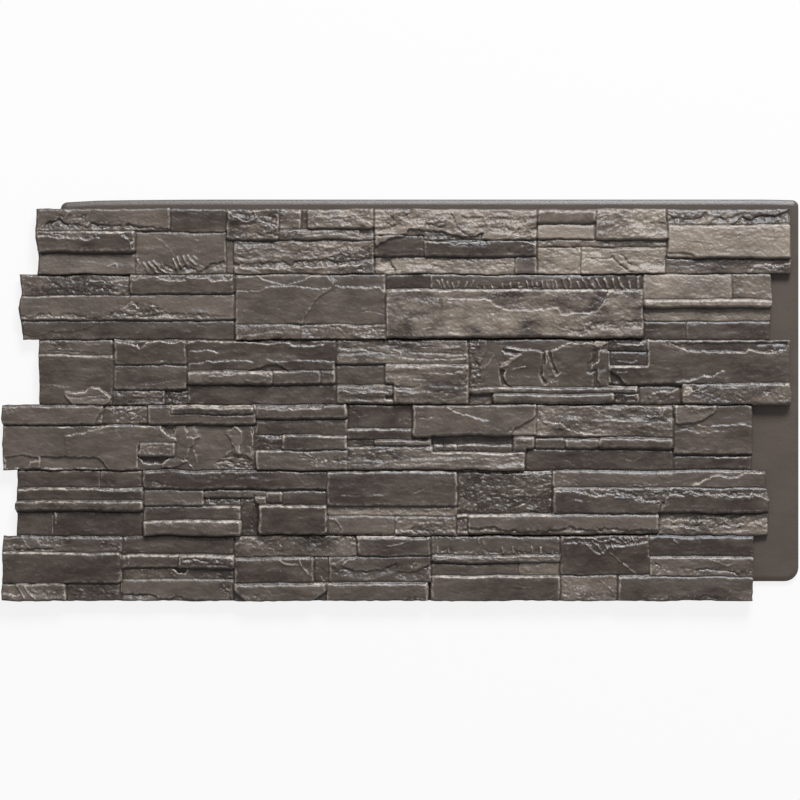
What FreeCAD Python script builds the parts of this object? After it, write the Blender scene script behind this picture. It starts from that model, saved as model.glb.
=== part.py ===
import FreeCAD, Part
import math
import os
from FreeCAD import Vector

# Faux stone wall panel: one moulded piece. A thin backing plate shows as a nailing flange along
# the top and the right; on it lie six courses of ledge stones. The courses start at uneven places,
# so the left ends and the bottom row hang over and lap the flanges of the next panels.
# X runs along the courses, Y up the wall, Z out of the wall. The origin is on the back face,
# in the middle of the outline.

cover_length = 1172.0       # length of every course, the step from panel to panel
course_height = 102.0       # one course of stones
panel_thickness = 31.75     # back face to the top of the proudest stone
side_flange = 73.0          # bare strip beside the course that reaches furthest left
top_flange = 15.0           # bare strip above the stones
start_1 = 57.0              # left end of each course, from the left end of the panel
start_2 = 28.0
start_3 = 58.0
start_4 = 0.0
start_5 = 24.0
start_6 = 1.0
flange_thickness = 9.5      # backing plate
flange_bevel = 4.5          # sloping upper edge of the flange
top_corner_radius = 10.0    # flange corners at the top
low_corner_radius = 22.0    # flange corners at the bottom
side_lap = 91.0             # how far the plate stays back from the left end
bottom_lap = 30.0           # how far the plate stays back from the bottom
lap_clearance = 0.5         # play over the neighbour's flange
bed_top = 14.0              # floor of the joints, above the back face
bed_setback = 2.5           # the bed stays back from the ends of the stones
joint_width = 2.6           # between two stones
wall_lean = 1.3             # the sides of a stone lean in by this much
edge_bevel = 1.6            # bevel around the face of a stone
corner_cut = 3.5            # cut corners in plan
edge_wave = 0.9             # waviness of the joints
wave_step = 56.0            # an edge gets a bend about this often
tear_wander = 7.0           # how far the edge of a torn layer zigzags
tear_step = 11.0            # a bend in that edge about this often


# The lay-out. Stones stand side by side (beside) or one above the other (stacked). Every size is
# in mm along that direction and is stretched to fill its place. The rise is in mm over the bed,
# stretched so that the proudest stone reaches the thickness of the panel. Lean is how much the
# upper edge of a face lies lower than its lower edge, and corner is in cut corners. A torn stone
# has lost a layer beyond a ragged line, which crosses it at two shares of its width.

def stone(size, rise, lean=0.0, corner=1.0, crown=0.0, tear=None):
    return {"size": size, "rise": rise, "lean": lean, "corner": corner, "crown": crown, "tear": tear}


def bar(size, rise, lean=0.0):
    return stone(size, rise, lean, corner=1.7, crown=0.32)


def torn(size, rise, lean, low_share, high_share, depth, keeps_left=True):
    tear = {"low": low_share, "high": high_share, "depth": depth, "left": keeps_left}
    return stone(size, rise, lean, tear=tear)


def recess(size):
    return {"size": size}


def beside(size, *parts):
    return {"size": size, "across": True, "parts": parts}


def stacked(size, *parts):
    return {"size": size, "across": False, "parts": parts}


course_starts = [start_1, start_2, start_3, start_4, start_5, start_6]

course_1 = beside(
    cover_length,
    stacked(
        296,
        beside(36, torn(208, 11, 2, 0.25, 0.18, 2.0, keeps_left=False), stone(88, 7)),
        beside(66, stacked(155, stone(32, 14, 1, 2.5), stone(34, 3, 2)), stone(141, 6, -2)),
    ),
    stacked(
        231,
        beside(
            48,
            stone(82, 13),
            stacked(149, beside(32, stone(36, 10), stone(9, 4), stone(104, 13)), bar(16, 11)),
        ),
        beside(54, stone(12, 5), stone(219, 9, 3)),
    ),
    stacked(
        254,
        stone(44, 14, 1),
        beside(30, stone(78, 8), stone(176, 11)),
        beside(28, stone(219, 5, 3), stone(35, 8)),
    ),
    stacked(
        203,
        beside(48, stacked(93, bar(22, 13), stone(26, 11, 1)), stone(110, 13, 2)),
        stone(12, 3),
        beside(42, stone(69, 8, 2, 2.5), stone(134, 11, 2)),
    ),
    stacked(
        193,
        stone(25, 11),
        stone(53, 15, 2),
        beside(24, stone(130, 7), stone(63, 11)),
    ),
)

course_2 = beside(
    cover_length,
    stacked(
        336,
        beside(33, stone(171, 6), stone(165, 11, 1)),
        beside(38, stone(171, 9, 1), torn(165, 11, 2, 0.12, 0.05, 2.0, keeps_left=False)),
        stone(31, 5),
    ),
    stacked(
        234,
        torn(78, 13, 2, 0.45, 0.67, 2.5),
        beside(24, stone(103, 14, 1), stone(131, 11)),
    ),
    stacked(
        403,
        beside(24, stone(71, 5), stone(332, 7)),
        torn(78, 15, 3, 0.62, 0.86, 2.0, keeps_left=False),
    ),
    stacked(
        199,
        beside(39, stone(140, 11, 2), stone(59, 9)),
        bar(17, 17.75),
        stone(17, 6),
        beside(29, stone(68, 4), stone(131, 5)),
    ),
)

course_3 = beside(
    cover_length,
    stacked(
        116,
        stone(24, 5),
        stone(50, 9, 1),
        beside(28, stone(38, 8), bar(78, 12)),
    ),
    stacked(
        115,
        stone(38, 11, 1),
        stone(40, 10, 1),
        beside(24, stone(81, 9), stone(34, 4)),
    ),
    stacked(
        234,
        stone(49, 10, 2),
        beside(21, bar(134, 15), stone(75, 12), stone(25, 12)),
        stone(32, 6),
    ),
    stacked(
        206,
        stone(39, 11, 1),
        beside(63, stacked(76, stone(30, 7), stone(33, 11, 2)), stone(130, 15, 2)),
    ),
    stacked(
        280,
        beside(
            73,
            stone(26, 8),
            torn(97, 10, 1, 0.3, 0.16, 3.0, keeps_left=False),
            torn(95, 9, 1, 0.8, 0.9, 3.0),
            stacked(62, stone(40, 6), stone(33, 10)),
        ),
        stone(12, 12),
        beside(17, stone(33, 2), stone(196, 14), stone(51, 9)),
    ),
    stacked(
        221,
        stone(69, 10, 1),
        beside(33, stone(52, 6), bar(169, 15)),
    ),
)

course_4 = beside(
    cover_length,
    stacked(
        396,
        beside(30, bar(165, 14), stone(62, 10), stone(169, 13)),
        beside(
            72,
            stone(214, 10, 1),
            stacked(86, stone(28, 10), stone(44, 12)),
            stone(60, 5, 2),
            stone(36, 8),
        ),
    ),
    stacked(
        143,
        stone(22, 13, 1),
        stone(24, 8),
        beside(24, stone(40, 8), stone(103, 12)),
        stone(32, 13),
    ),
    stacked(
        508,
        beside(
            64,
            stacked(102, stone(36, 5), stone(17, 8), stone(11, 3)),
            stacked(192, torn(49, 15, 2, 0.78, 0.95, 3.0), beside(15, stone(31, 8), recess(161))),
            stacked(214, stone(50, 11, 2), beside(14, stone(45, 8), stone(52, 11), bar(117, 12))),
        ),
        beside(38, stone(276, 12, 1), stone(232, 5)),
    ),
    stacked(
        125,
        beside(27, stone(70, 14, 0, 3.0), stone(55, 10)),
        stone(51, 10, 1),
        stone(24, 5),
    ),
)

course_5 = beside(
    cover_length,
    stacked(
        196,
        beside(27, stone(129, 5), stone(67, 5)),
        stone(20, 9, 1),
        bar(17, 13),
        beside(38, stone(57, 4), stone(139, 4)),
    ),
    stacked(
        288,
        stone(30, 11, 1),
        beside(26, stone(96, 9, 0, 2.3), bar(102, 7), stone(90, 9)),
        beside(46, stacked(155, stone(23, 7), stone(23, 13, 1)), recess(25), stone(108, 13)),
    ),
    stacked(
        203,
        stone(56, 13, 2),
        stone(15, 3),
        beside(31, stone(106, 8), stone(97, 10, 1)),
    ),
    stacked(
        485,
        beside(
            68,
            stone(147, 8, 1),
            stacked(338, torn(26, 11, 1, 0.66, 0.8, 2.0, keeps_left=False), beside(42, stone(167, 14, 2), stone(171, 14, 2))),
        ),
        beside(34, stone(17, 10), stone(299, 14, 1), stone(169, 7)),
    ),
)

course_6 = beside(
    cover_length,
    stacked(
        188,
        stone(27, 7, 1),
        stone(49, 10, 1),
        beside(26, stone(102, 13, 1), stone(86, 6)),
    ),
    stacked(
        175,
        stone(30, 5),
        beside(23, stone(86, 10), bar(89, 14)),
        stone(15, 6),
        stone(34, 8, 1),
    ),
    stacked(
        304,
        beside(34, stone(190, 7), stone(114, 10)),
        beside(41, stone(124, 10, 1), stone(24, 5), stone(156, 8)),
        beside(27, stone(144, 14, 0, 2.5), stone(160, 12)),
    ),
    stacked(
        204,
        stone(30, 8, 0, 2.5),
        bar(13, 12),
        beside(21, stone(139, 5), stone(65, 3)),
        stone(38, 11, 1),
    ),
    stacked(
        301,
        beside(63, torn(140, 9, 1, 0.84, 0.55, 2.5), stacked(161, stone(32, 8, 0, 2.5), stone(31, 12, 1))),
        beside(39, stone(91, 10), stone(210, 13, 1)),
    ),
)

courses = [course_1, course_2, course_3, course_4, course_5, course_6]



def proudest(part):
    """Largest rise of any stone in a part of the lay-out."""
    return max([part.get("rise", 0.0)] + [proudest(inner) for inner in part.get("parts", [])])


panel_length = cover_length + side_flange
stones_height = course_height * len(courses)
panel_height = stones_height + top_flange
relief_scale = (panel_thickness - bed_top) / max(proudest(course) for course in courses)
left_edge = -panel_length / 2
bottom_edge = -panel_height / 2
foot_level = bed_top - 2.0


def wave(along, line):
    """Bend of a joint, never negative: two slow sines whose phase belongs to that joint."""
    slow = math.sin(along * 0.047 + line * 1.31)
    quick = math.sin(along * 0.113 + line * 2.17)
    return edge_wave * (1 + 0.7 * slow + 0.3 * quick)


def steps(start, end):
    """Places of the bends along an edge, its two ends included."""
    count = max(1, round(abs(end - start) / wave_step))
    return [start + (end - start) * i / count for i in range(count + 1)]


def outline(x0, x1, y0, y1, corner):
    """Foot of a stone: wavy edges between cut corners, one joint short at the right and top."""
    right = x1 - joint_width
    upper = y1 - joint_width
    cut = min(corner, 0.3 * (right - x0), 0.3 * (upper - y0))
    points = [(x, y0 + wave(x, y0)) for x in steps(x0 + cut, right - cut)]
    points += [(right + wave(y, x1), y) for y in steps(y0 + cut, upper - cut)]
    points += [(x, upper + wave(x, y1)) for x in steps(right - cut, x0 + cut)]
    points += [(x0 + wave(y, x0), y) for y in steps(upper - cut, y0 + cut)]
    return points


def section(points, inset, height):
    """The foot drawn in by an inset all round and lifted onto the sloping height."""
    x_low, x_high = min(x for x, y in points), max(x for x, y in points)
    y_low, y_high = min(y for x, y in points), max(y for x, y in points)
    x_mid = (x_low + x_high) / 2
    y_mid = (y_low + y_high) / 2
    x_scale = 1 - 2 * inset / (x_high - x_low)
    y_scale = 1 - 2 * inset / (y_high - y_low)
    ring = []
    for x, y in points:
        ring.append(Vector(x_mid + (x - x_mid) * x_scale, y_mid + (y - y_mid) * y_scale, height(y)))
    return Part.makePolygon(ring + ring[:1])


def torn_layer(part, points, inset, top, height):
    """Upper layer of a torn stone: its face on one side of a zigzag line, with a leaning edge."""
    x_low, x_high = min(x for x, y in points) + inset, max(x for x, y in points) - inset
    y_low, y_high = min(y for x, y in points) + inset, max(y for x, y in points) - inset
    tear = part["tear"]
    count = max(2, round((y_high - y_low) / tear_step))
    edge = []
    for i in range(count + 1):
        along = i / count
        share = tear["low"] + (tear["high"] - tear["low"]) * along
        zigzag = tear_wander * (0.5 if i % 2 else -0.5) * (1 + 0.6 * math.sin(3.1 * i + x_low))
        edge.append((x_low + share * (x_high - x_low) + zigzag, y_low + along * (y_high - y_low)))
    if tear["left"]:
        ring = edge + [(x_low, y_high), (x_low, y_low)]
    else:
        ring = edge[::-1] + [(x_high, y_low), (x_high, y_high)]
    lower = section(ring, 0.0, lambda y: height(y) - top)
    upper = section(ring, 0.5 * edge_bevel, height)
    return Part.makeLoft([lower, upper], True, True)


def stone_solid(part, x0, x1, y0, y1):
    """One stone, lofted from its foot up the leaning sides and over the bevel to its face."""
    small = min(x1 - x0, y1 - y0) - joint_width
    top = bed_top + part["rise"] * relief_scale
    lean = part["lean"] * relief_scale
    rise = top - foot_level

    def face(y):
        share = (y - y0) / (y1 - y0)
        return top - lean * share if lean > 0 else top + lean * (1 - share)

    points = outline(x0, x1, y0, y1, part["corner"] * corner_cut)
    lean_in = min(wall_lean, 0.12 * small)
    sections = [section(points, 0.0, lambda y: foot_level)]
    if part["crown"]:
        run = part["crown"] * small
        drop = min(run, 0.6 * rise)
        sections.append(section(points, lean_in, lambda y: face(y) - drop))
        sections.append(section(points, lean_in + 0.3 * run, lambda y: face(y) - 0.3 * drop))
        sections.append(section(points, lean_in + run, face))
        return Part.makeLoft(sections, True, True)
    bevel = min(edge_bevel, 0.15 * small, 0.5 * rise)
    lost = part["tear"]["depth"] * relief_scale if part["tear"] else 0.0
    sections.append(section(points, lean_in, lambda y: face(y) - lost - bevel))
    sections.append(section(points, lean_in + bevel, lambda y: face(y) - lost))
    body = Part.makeLoft(sections, True, True)
    if not part["tear"]:
        return body
    return body.fuse(torn_layer(part, points, lean_in + bevel, lost + bevel, face))


def lay(part, x0, x1, y0, y1):
    """Solids of all the stones inside a place; y0 is its lower side, y1 its upper side."""
    if "rise" in part:
        return [stone_solid(part, x0, x1, y0, y1)]
    if "parts" not in part:
        return []
    total = sum(inner["size"] for inner in part["parts"])
    solids = []
    done = 0.0
    for inner in part["parts"]:
        start = done / total
        done += inner["size"]
        end = done / total
        if part["across"]:
            solids += lay(inner, x0 + (x1 - x0) * start, x0 + (x1 - x0) * end, y0, y1)
        else:
            solids += lay(inner, x0, x1, y1 - (y1 - y0) * end, y1 - (y1 - y0) * start)
    return solids


def bed():
    """Floor under the stones: a stepped outline, one step for each course."""
    left = []
    right = []
    for i, start in enumerate(course_starts):
        high = bottom_edge + stones_height - course_height * i
        low = high - course_height
        high = high - (bed_setback if i == 0 else 0.0)
        low = low + (bed_setback if i == len(courses) - 1 else 0.0)
        x0 = left_edge + start + bed_setback
        x1 = left_edge + start + cover_length - bed_setback
        left += [Vector(x0, high, 0), Vector(x0, low, 0)]
        right += [Vector(x1, high, 0), Vector(x1, low, 0)]
    ring = left + right[::-1]
    return Part.Face(Part.makePolygon(ring + ring[:1])).extrude(Vector(0, 0, bed_top))


def plate():
    """Backing plate with rounded corners and a bevelled upper edge."""
    x0 = left_edge + side_lap
    x1 = panel_length / 2
    y0 = bottom_edge + bottom_lap
    y1 = panel_height / 2
    body = Part.makeBox(x1 - x0, y1 - y0, flange_thickness, Vector(x0, y0, 0))
    for radius, side in ((top_corner_radius, 1), (low_corner_radius, -1)):
        sharp = [e for e in body.Edges if e.Vertexes[0].X == e.Vertexes[-1].X
                 and e.Vertexes[0].Y == e.Vertexes[-1].Y and e.Vertexes[0].Y * side > panel_height / 4]
        body = body.makeFillet(radius, sharp)
    upper = [e for e in body.Edges if e.BoundBox.ZMin > flange_thickness - 0.01]
    return body.makeChamfer(flange_bevel, upper)


def lap_rebates():
    """Room for the neighbours' flanges, under the left ends and under the bottom row."""
    deep = flange_thickness + lap_clearance
    left = Part.makeBox(side_lap + 10, panel_height + 20, deep + 10,
                        Vector(left_edge - 10, bottom_edge - 10, -10))
    low = Part.makeBox(panel_length + 20, bottom_lap + 10, deep + 10,
                       Vector(left_edge - 10, bottom_edge - 10, -10))
    return left.fuse(low)


def panel():
    """The whole moulding as one solid."""
    stones = []
    for i, (course, start) in enumerate(zip(courses, course_starts)):
        high = bottom_edge + stones_height - course_height * i
        x0 = left_edge + start
        stones += lay(course, x0, x0 + cover_length, high - course_height, high)
    base = bed().cut(lap_rebates()).fuse(plate())
    return base.multiFuse(stones)


os.makedirs("parts", exist_ok=True)
shape = panel()
solid = shape.Solids[0]
solid.exportStep("parts/stone_panel.step")
print("solids", len(shape.Solids), "valid", solid.isValid(), "faces", len(solid.Faces))
print("box", solid.BoundBox, "volume cm3", round(solid.Volume / 1000, 1))
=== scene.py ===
import math

import bpy
import numpy as np
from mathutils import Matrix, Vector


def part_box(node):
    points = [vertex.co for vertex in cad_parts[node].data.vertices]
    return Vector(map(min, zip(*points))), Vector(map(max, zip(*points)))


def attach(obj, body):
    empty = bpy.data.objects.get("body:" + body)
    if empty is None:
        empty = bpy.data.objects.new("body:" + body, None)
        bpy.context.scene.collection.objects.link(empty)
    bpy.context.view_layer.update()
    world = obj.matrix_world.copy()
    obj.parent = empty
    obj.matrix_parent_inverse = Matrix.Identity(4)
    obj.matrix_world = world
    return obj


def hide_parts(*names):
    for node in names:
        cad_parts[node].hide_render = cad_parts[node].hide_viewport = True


# Faux stone wall panel, lying flat on the floor, face up, seen from straight above.
# The CAD node gives the frame. The relief of each course of stones is a height field on a fine
# grid: the stones are laid in it from a table, then sheets, steps and cracks are cut into them.
# The tables are in mm from the upper left corner of the photographed outline, x to the right,
# y down. Heights are in mm above the back of the panel.

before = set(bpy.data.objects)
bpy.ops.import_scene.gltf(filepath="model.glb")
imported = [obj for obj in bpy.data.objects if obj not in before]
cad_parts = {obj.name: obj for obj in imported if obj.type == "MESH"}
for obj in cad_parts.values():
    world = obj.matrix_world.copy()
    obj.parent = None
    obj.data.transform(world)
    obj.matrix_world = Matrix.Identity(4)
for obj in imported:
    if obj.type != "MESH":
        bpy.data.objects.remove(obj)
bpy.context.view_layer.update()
cadLow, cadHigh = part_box("stone_panel")
print("frame loaded", [round(v, 4) for v in (*cadLow, *cadHigh)])

relief = {
    "pitch": 1.3,     # grid spacing, mm
    "middle": 622.5,                         # x of the middle of the panel
    "topEdge": 3.0,                          # y of the upper edge of the flange
    "underside": 9.4,                        # where the courses close at the back
    "floor": 13.5,                           # bed of the widest gaps between stones
    "jointDrop": 1.0,                        # how far a joint may go below the bed
    "deepest": 1.5,                          # how far anything may go below the bed
    "ceiling": 31.7,                         # proudest point
    "courseHeight": 102.0,
    "firstCourse": 18.0,                     # y of the upper side of the first course
    "groove": 0.6,                           # depth of a joint under the lower neighbour
    "grooveNoise": (0.6, 17, 13),            # how unevenly, and its length and width
    "jointReach": 2.6,                       # how far a joint looks for that neighbour
    "jointPale": 0.1,                        # paleness of the joints
    "rim": (0.35, 0.9),                      # fall of a face beside its edges, and its reach
    "upperRim": (0.9, 1.4),                  # further fall beside its upper edge, and its reach
    "crown": 0.18,                           # fall of a bar's edges, as a share of its width
    "cornerShare": 0.45,                     # largest corner radius, as a share of the sides
    "wear": 1.7,                             # how far the rounding of proud edges reaches
    "spare": 0.7,                            # how much an edge may stand up before it is rounded
    "kept": 0.25,                            # share of the rest that is kept
    "openDrop": 0.6,                         # fall of the outermost vertices along the outline
    "wander": 1.3,                           # slow bend of all edges
    "shiver": 0.6,                           # quick bend of all edges
    "bends": [(37, 29), (8, 7), (43, 31), (9, 6)],   # lengths of their noises, across and down
    "endReach": 40.0,                        # how far the fitting of the stepped ends reaches
    "seed": 7,
}

# How a face is broken: height of the slow swell and its length and width, height of the crests
# in it, height of the broken facets and their length and width, strength of the grain, radius of
# the corners in plan, strength of the patches in the paint, and strength of the rims.
lookParts = ("swell", "long", "wide", "crest", "facet", "cellLong", "cellWide", "grain", "round",
             "mottle", "rims")
looks = {name: dict(zip(lookParts, values)) for name, values in {
    "smooth": (0.85, 45, 12, 0.12, 0.28, 26, 10, 0.17, 3.2, 0.42, 1),
    "sandy": (1.6, 50, 20, 0.4, 0.4, 24, 11, 0.4, 3, 0.9, 1),
    "rough": (3.2, 38, 17, 0.7, 0.75, 24, 8, 0.45, 3, 1, 1),
    "worn": (2.6, 55, 26, 0.35, 0.45, 20, 13, 0.4, 3, 1.6, 1),
    "layered": (1.8, 70, 9, 0.5, 0.55, 55, 6, 0.33, 2.5, 1, 1),
    "scaly": (0.8, 40, 20, 0.6, 1.2, 10, 5.5, 0.35, 1.5, 0.7, 1),
    "bar": (0.9, 30, 14, 0.2, 0.4, 18, 8, 0.18, 5, 0.6, 1),
    "sunken": (1.2, 30, 14, 0.3, 0.5, 18, 8, 0.35, 6, 0.8, 0),
}.items()}

# Left and right hold y and x of points down the ends of a course.
# A stone: x from, x to, y from, y to, height, how much lower its upper edge lies, look, paleness
# from 0 to 1, width of the chipped band along its upper edge and along its lower edge.
# The rest follow lines, written as x,y x,y and so on.
# A step: a line, by how much the face rises on the right hand of one who walks along it, and how
# far that reaches. A sheet: an outline, its rise, how fast it thins inwards, and added paleness;
# raised sheets are mostly made paler and sunken ones darker, painted light and painted shade
# that follow the relief.
# A crack: a line, its width and depth, or a ridge where the depth is negative. A chip is a line
# along which the face is broken, the width of the broken band on each side of it, and the
# strength. A tick is a short upright ridge: x, y from, y to.
courseOne = {
    "name": "stones_course_1",
    "left": [(18, 54), (55, 53), (84, 56), (95, 57), (120, 55)],
    "right": [(18, 1230), (44, 1231), (92, 1232), (98, 1233), (120, 1232)],
    "stones": [
        (54, 262, 18, 53, 25, 1, "smooth", 0.45, 2, 2),
        (54, 209, 53, 86, 28, 1, "smooth", 0.28, 2, 1),
        (54, 209, 86, 120, 22, 3, "smooth", 0.5, 0, 2),
        (262, 350, 18, 54, 21, 0, "smooth", 0.2, 2, 2),
        (209, 350, 54, 120, 21, 1, "smooth", 0.44, 2, 2),
        (350, 432, 18, 66, 27, 2, "rough", 0.35, 4, 2),
        (350, 362, 66, 120, 19, 0, "smooth", 0.45, 1, 1),
        (362, 580, 66, 120, 24, 3, "rough", 0.52, 3, 2),
        (432, 468, 18, 50, 24, 2, "rough", 0.35, 2, 2),
        (468, 477, 18, 50, 19, 0, "sunken", 0.3, 0, 0),
        (477, 580, 18, 50, 27, 3, "rough", 0.48, 3, 3),
        (434, 580, 50, 66, 25, 2, "layered", 0.35, 2, 2),
        (582, 835, 18, 66, 28, 4, "rough", 0.75, 3, 2),
        (582, 660, 60, 92, 22, 0, "smooth", 0.18, 0, 1),
        (660, 835, 66, 92, 25, 1, "smooth", 0.18, 2, 1),
        (582, 801, 92, 120, 21, 3, "rough", 0.75, 3, 2),
        (801, 835, 92, 120, 22, 1, "smooth", 0.4, 2, 2),
        (836, 928, 18, 41, 27, -1, "bar", 0.5, 4, 1),
        (836, 926, 41, 66, 25, 2, "smooth", 0.95, 2, 1),
        (928, 1038, 18, 66, 27, 3, "rough", 0.75, 3, 3),
        (836, 1038, 66, 78, 21, 0, "rough", 0.6, 0, 0),
        (836, 904, 78, 120, 22, 2, "rough", 0.9, 3, 2),
        (904, 1038, 78, 120, 25, 3, "rough", 0.9, 3, 2),
        (1039, 1231, 18, 43, 25, 3, "sandy", 0.42, 3, 2),
        (1039, 1232, 43, 95, 29, 3, "sandy", 1, 3, 3),
        (1037, 1233, 95, 120, 22, 1, "sandy", 0.42, 2, 2),
    ],
    "steps": [
        ("66,45 72,40 85,38 90,33 97,40 120,42 132,46 140,40 180,45 195,42 210,45 258,50",
         -3.5, 12),
        ("98,31 93,27 97,20", 1.5, 40), ("60,60 68,61 92,65 100,62 130,67 150,63", 1.5, 8),
        ("352,22 362,28 378,37 392,31 397,30 407,38 415,40 431,45", 2.5, 20),
        ("255,104 265,108 272,112 282,110 286,105 295,109 306,115 318,112 325,105 345,100",
         -3, 10),
        ("364,102 440,100 450,105 462,98 500,95 520,100 540,100 560,97 578,94", -3, 10),
        ("632,36 650,34 665,37 693,35", 1.8, 14), ("665,40 685,46 700,48", -2, 10),
        ("722,30 740,32 760,30 800,33 820,30 832,28", -2, 12),
        ("740,47 760,45 790,46 800,50", -1.8, 10), ("585,30 600,28 612,25 622,22", 1.8, 10),
        ("583,50 600,46 610,44 618,40", -2, 10), ("795,60 803,53 806,50", -3, 8),
        ("820,52 828,48 834,46", -2.5, 8), ("372,92 385,95 398,91", -2, 5),
        ("375,108 400,110 430,112", 2, 6), ("460,110 480,108 500,108 520,106 555,106", 2.2, 6),
        ("500,28 520,27 545,25 560,32 578,43", 1.6, 12),
        ("662,70 675,66 680,71 697,70 702,74 720,72 755,68 790,64 808,68 833,72", 2, 25),
        ("600,93 606,98 612,110 614,118", -4, 14),
        ("1042,35 1056,31 1072,34 1086,31 1096,24", -3.2, 10),
        ("1103,41 1113,31 1140,30 1150,24", -3, 14),
        ("1165,118 1175,109 1190,105 1210,107 1228,104", 1.8, 12),
        ("1140,40 1147,36 1155,28 1170,33 1193,27 1205,31 1230,22", -4, 14),
    ],
    "sheets": [
        ("582,60 634,60 606,66 600,69 590,73 583,80", 5, 0, 0.3),
        ("600,66 607,62 632,58 634,50 665,51 690,54 705,58 720,61 738,61 744,55 752,55 748,66",
         -5, 0, -0.4),
        ("1040,88 1060,86 1080,90 1084,96 1040,96", -3.5, 0, 0),
    ],
    "cracks": [
        ("188,61 196,65 201,70 204,80", 2, -1.2), ("165,108 172,103 178,104 180,110", 2, -1.2),
        ("240,65 252,72 262,80 268,90", 2, -0.8), ("212,112 216,103 213,96", 2.6, -1.8),
        ("222,101 226,108 229,116", 3, -2.4), ("231,101 236,108 242,117", 3, -2.6),
        ("238,99 246,110 256,117", 3, -2.6), ("250,105 256,111 265,114", 3, -2.2),
        ("267,96 271,104 275,113", 3, -2.4), ("273,93 277,101 283,111", 3, -2.6),
        ("283,92 287,100 293,109", 3, -2.6), ("291,92 297,99 306,106", 3, -2.4),
        ("300,92 306,97", 2.6, -1.8), ("392,20 396,25 394,30", 2, -1.2),
        ("443,60 447,55 455,52 465,52", 1.8, -1), ("468,58 500,53 503,57 498,60 470,62", 1.8, -1),
        ("560,55 580,55", 8, 3),
        ("700,22 703,28 708,40 714,50 722,57 730,60 738,57 742,53", 2.2, 2.2),
        ("815,40 822,38 831,42 826,50 818,52", 1.8, -1),
        ("895,82 903,92 905,105 900,112 888,116", 2, 1.5),
        ("906,99 912,95 945,96 952,92 965,105 978,117 995,119", 2.2, 2.6),
        ("967,90 977,103 992,109", 2, 2.2),
    ],
    "chips": [
        ("62,46 90,44 120,45 160,46 200,44 215,46", 7, 1.8), ("90,28 110,32 130,32", 6, 1.6),
        ("58,58 90,60 130,63 150,62", 4, 1.2), ("190,60 202,68 206,78", 5, 1.6),
        ("214,112 240,113 262,113", 5, 1), ("300,108 322,110 345,106", 6, 1.2),
        ("395,28 415,36 430,46", 9, 2), ("385,50 410,54 430,55", 9, 1.4),
        ("475,82 520,84 575,80", 14, 1.9), ("455,104 490,103 525,103", 6, 1.8),
        ("362,104 400,106", 6, 1.4), ("540,32 575,36", 12, 1.8), ("590,45 620,35 630,25", 14, 2.6),
        ("650,40 690,42", 10, 1.8), ("740,38 800,42 830,42", 13, 2), ("800,58 828,62", 9, 2.6),
        ("735,66 760,68", 5, 1.4), ("790,86 805,88", 5, 1.4), ("815,72 826,78", 5, 1.4),
        ("585,100 606,106", 8, 1.8), ("670,102 700,104", 7, 1.2), ("760,104 790,110", 8, 1.8),
        ("940,30 1030,35", 14, 1.4), ("935,55 1030,55", 9, 1.2), ("840,86 870,84", 6, 1.2),
        ("1000,95 1030,105", 8, 1), ("1045,30 1095,32", 11, 1), ("1045,50 1075,56", 8, 0.7),
        ("1110,62 1150,56", 7, 0.8), ("1185,110 1228,110", 6, 1.2),
    ],
    "ticks": [],
}

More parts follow.
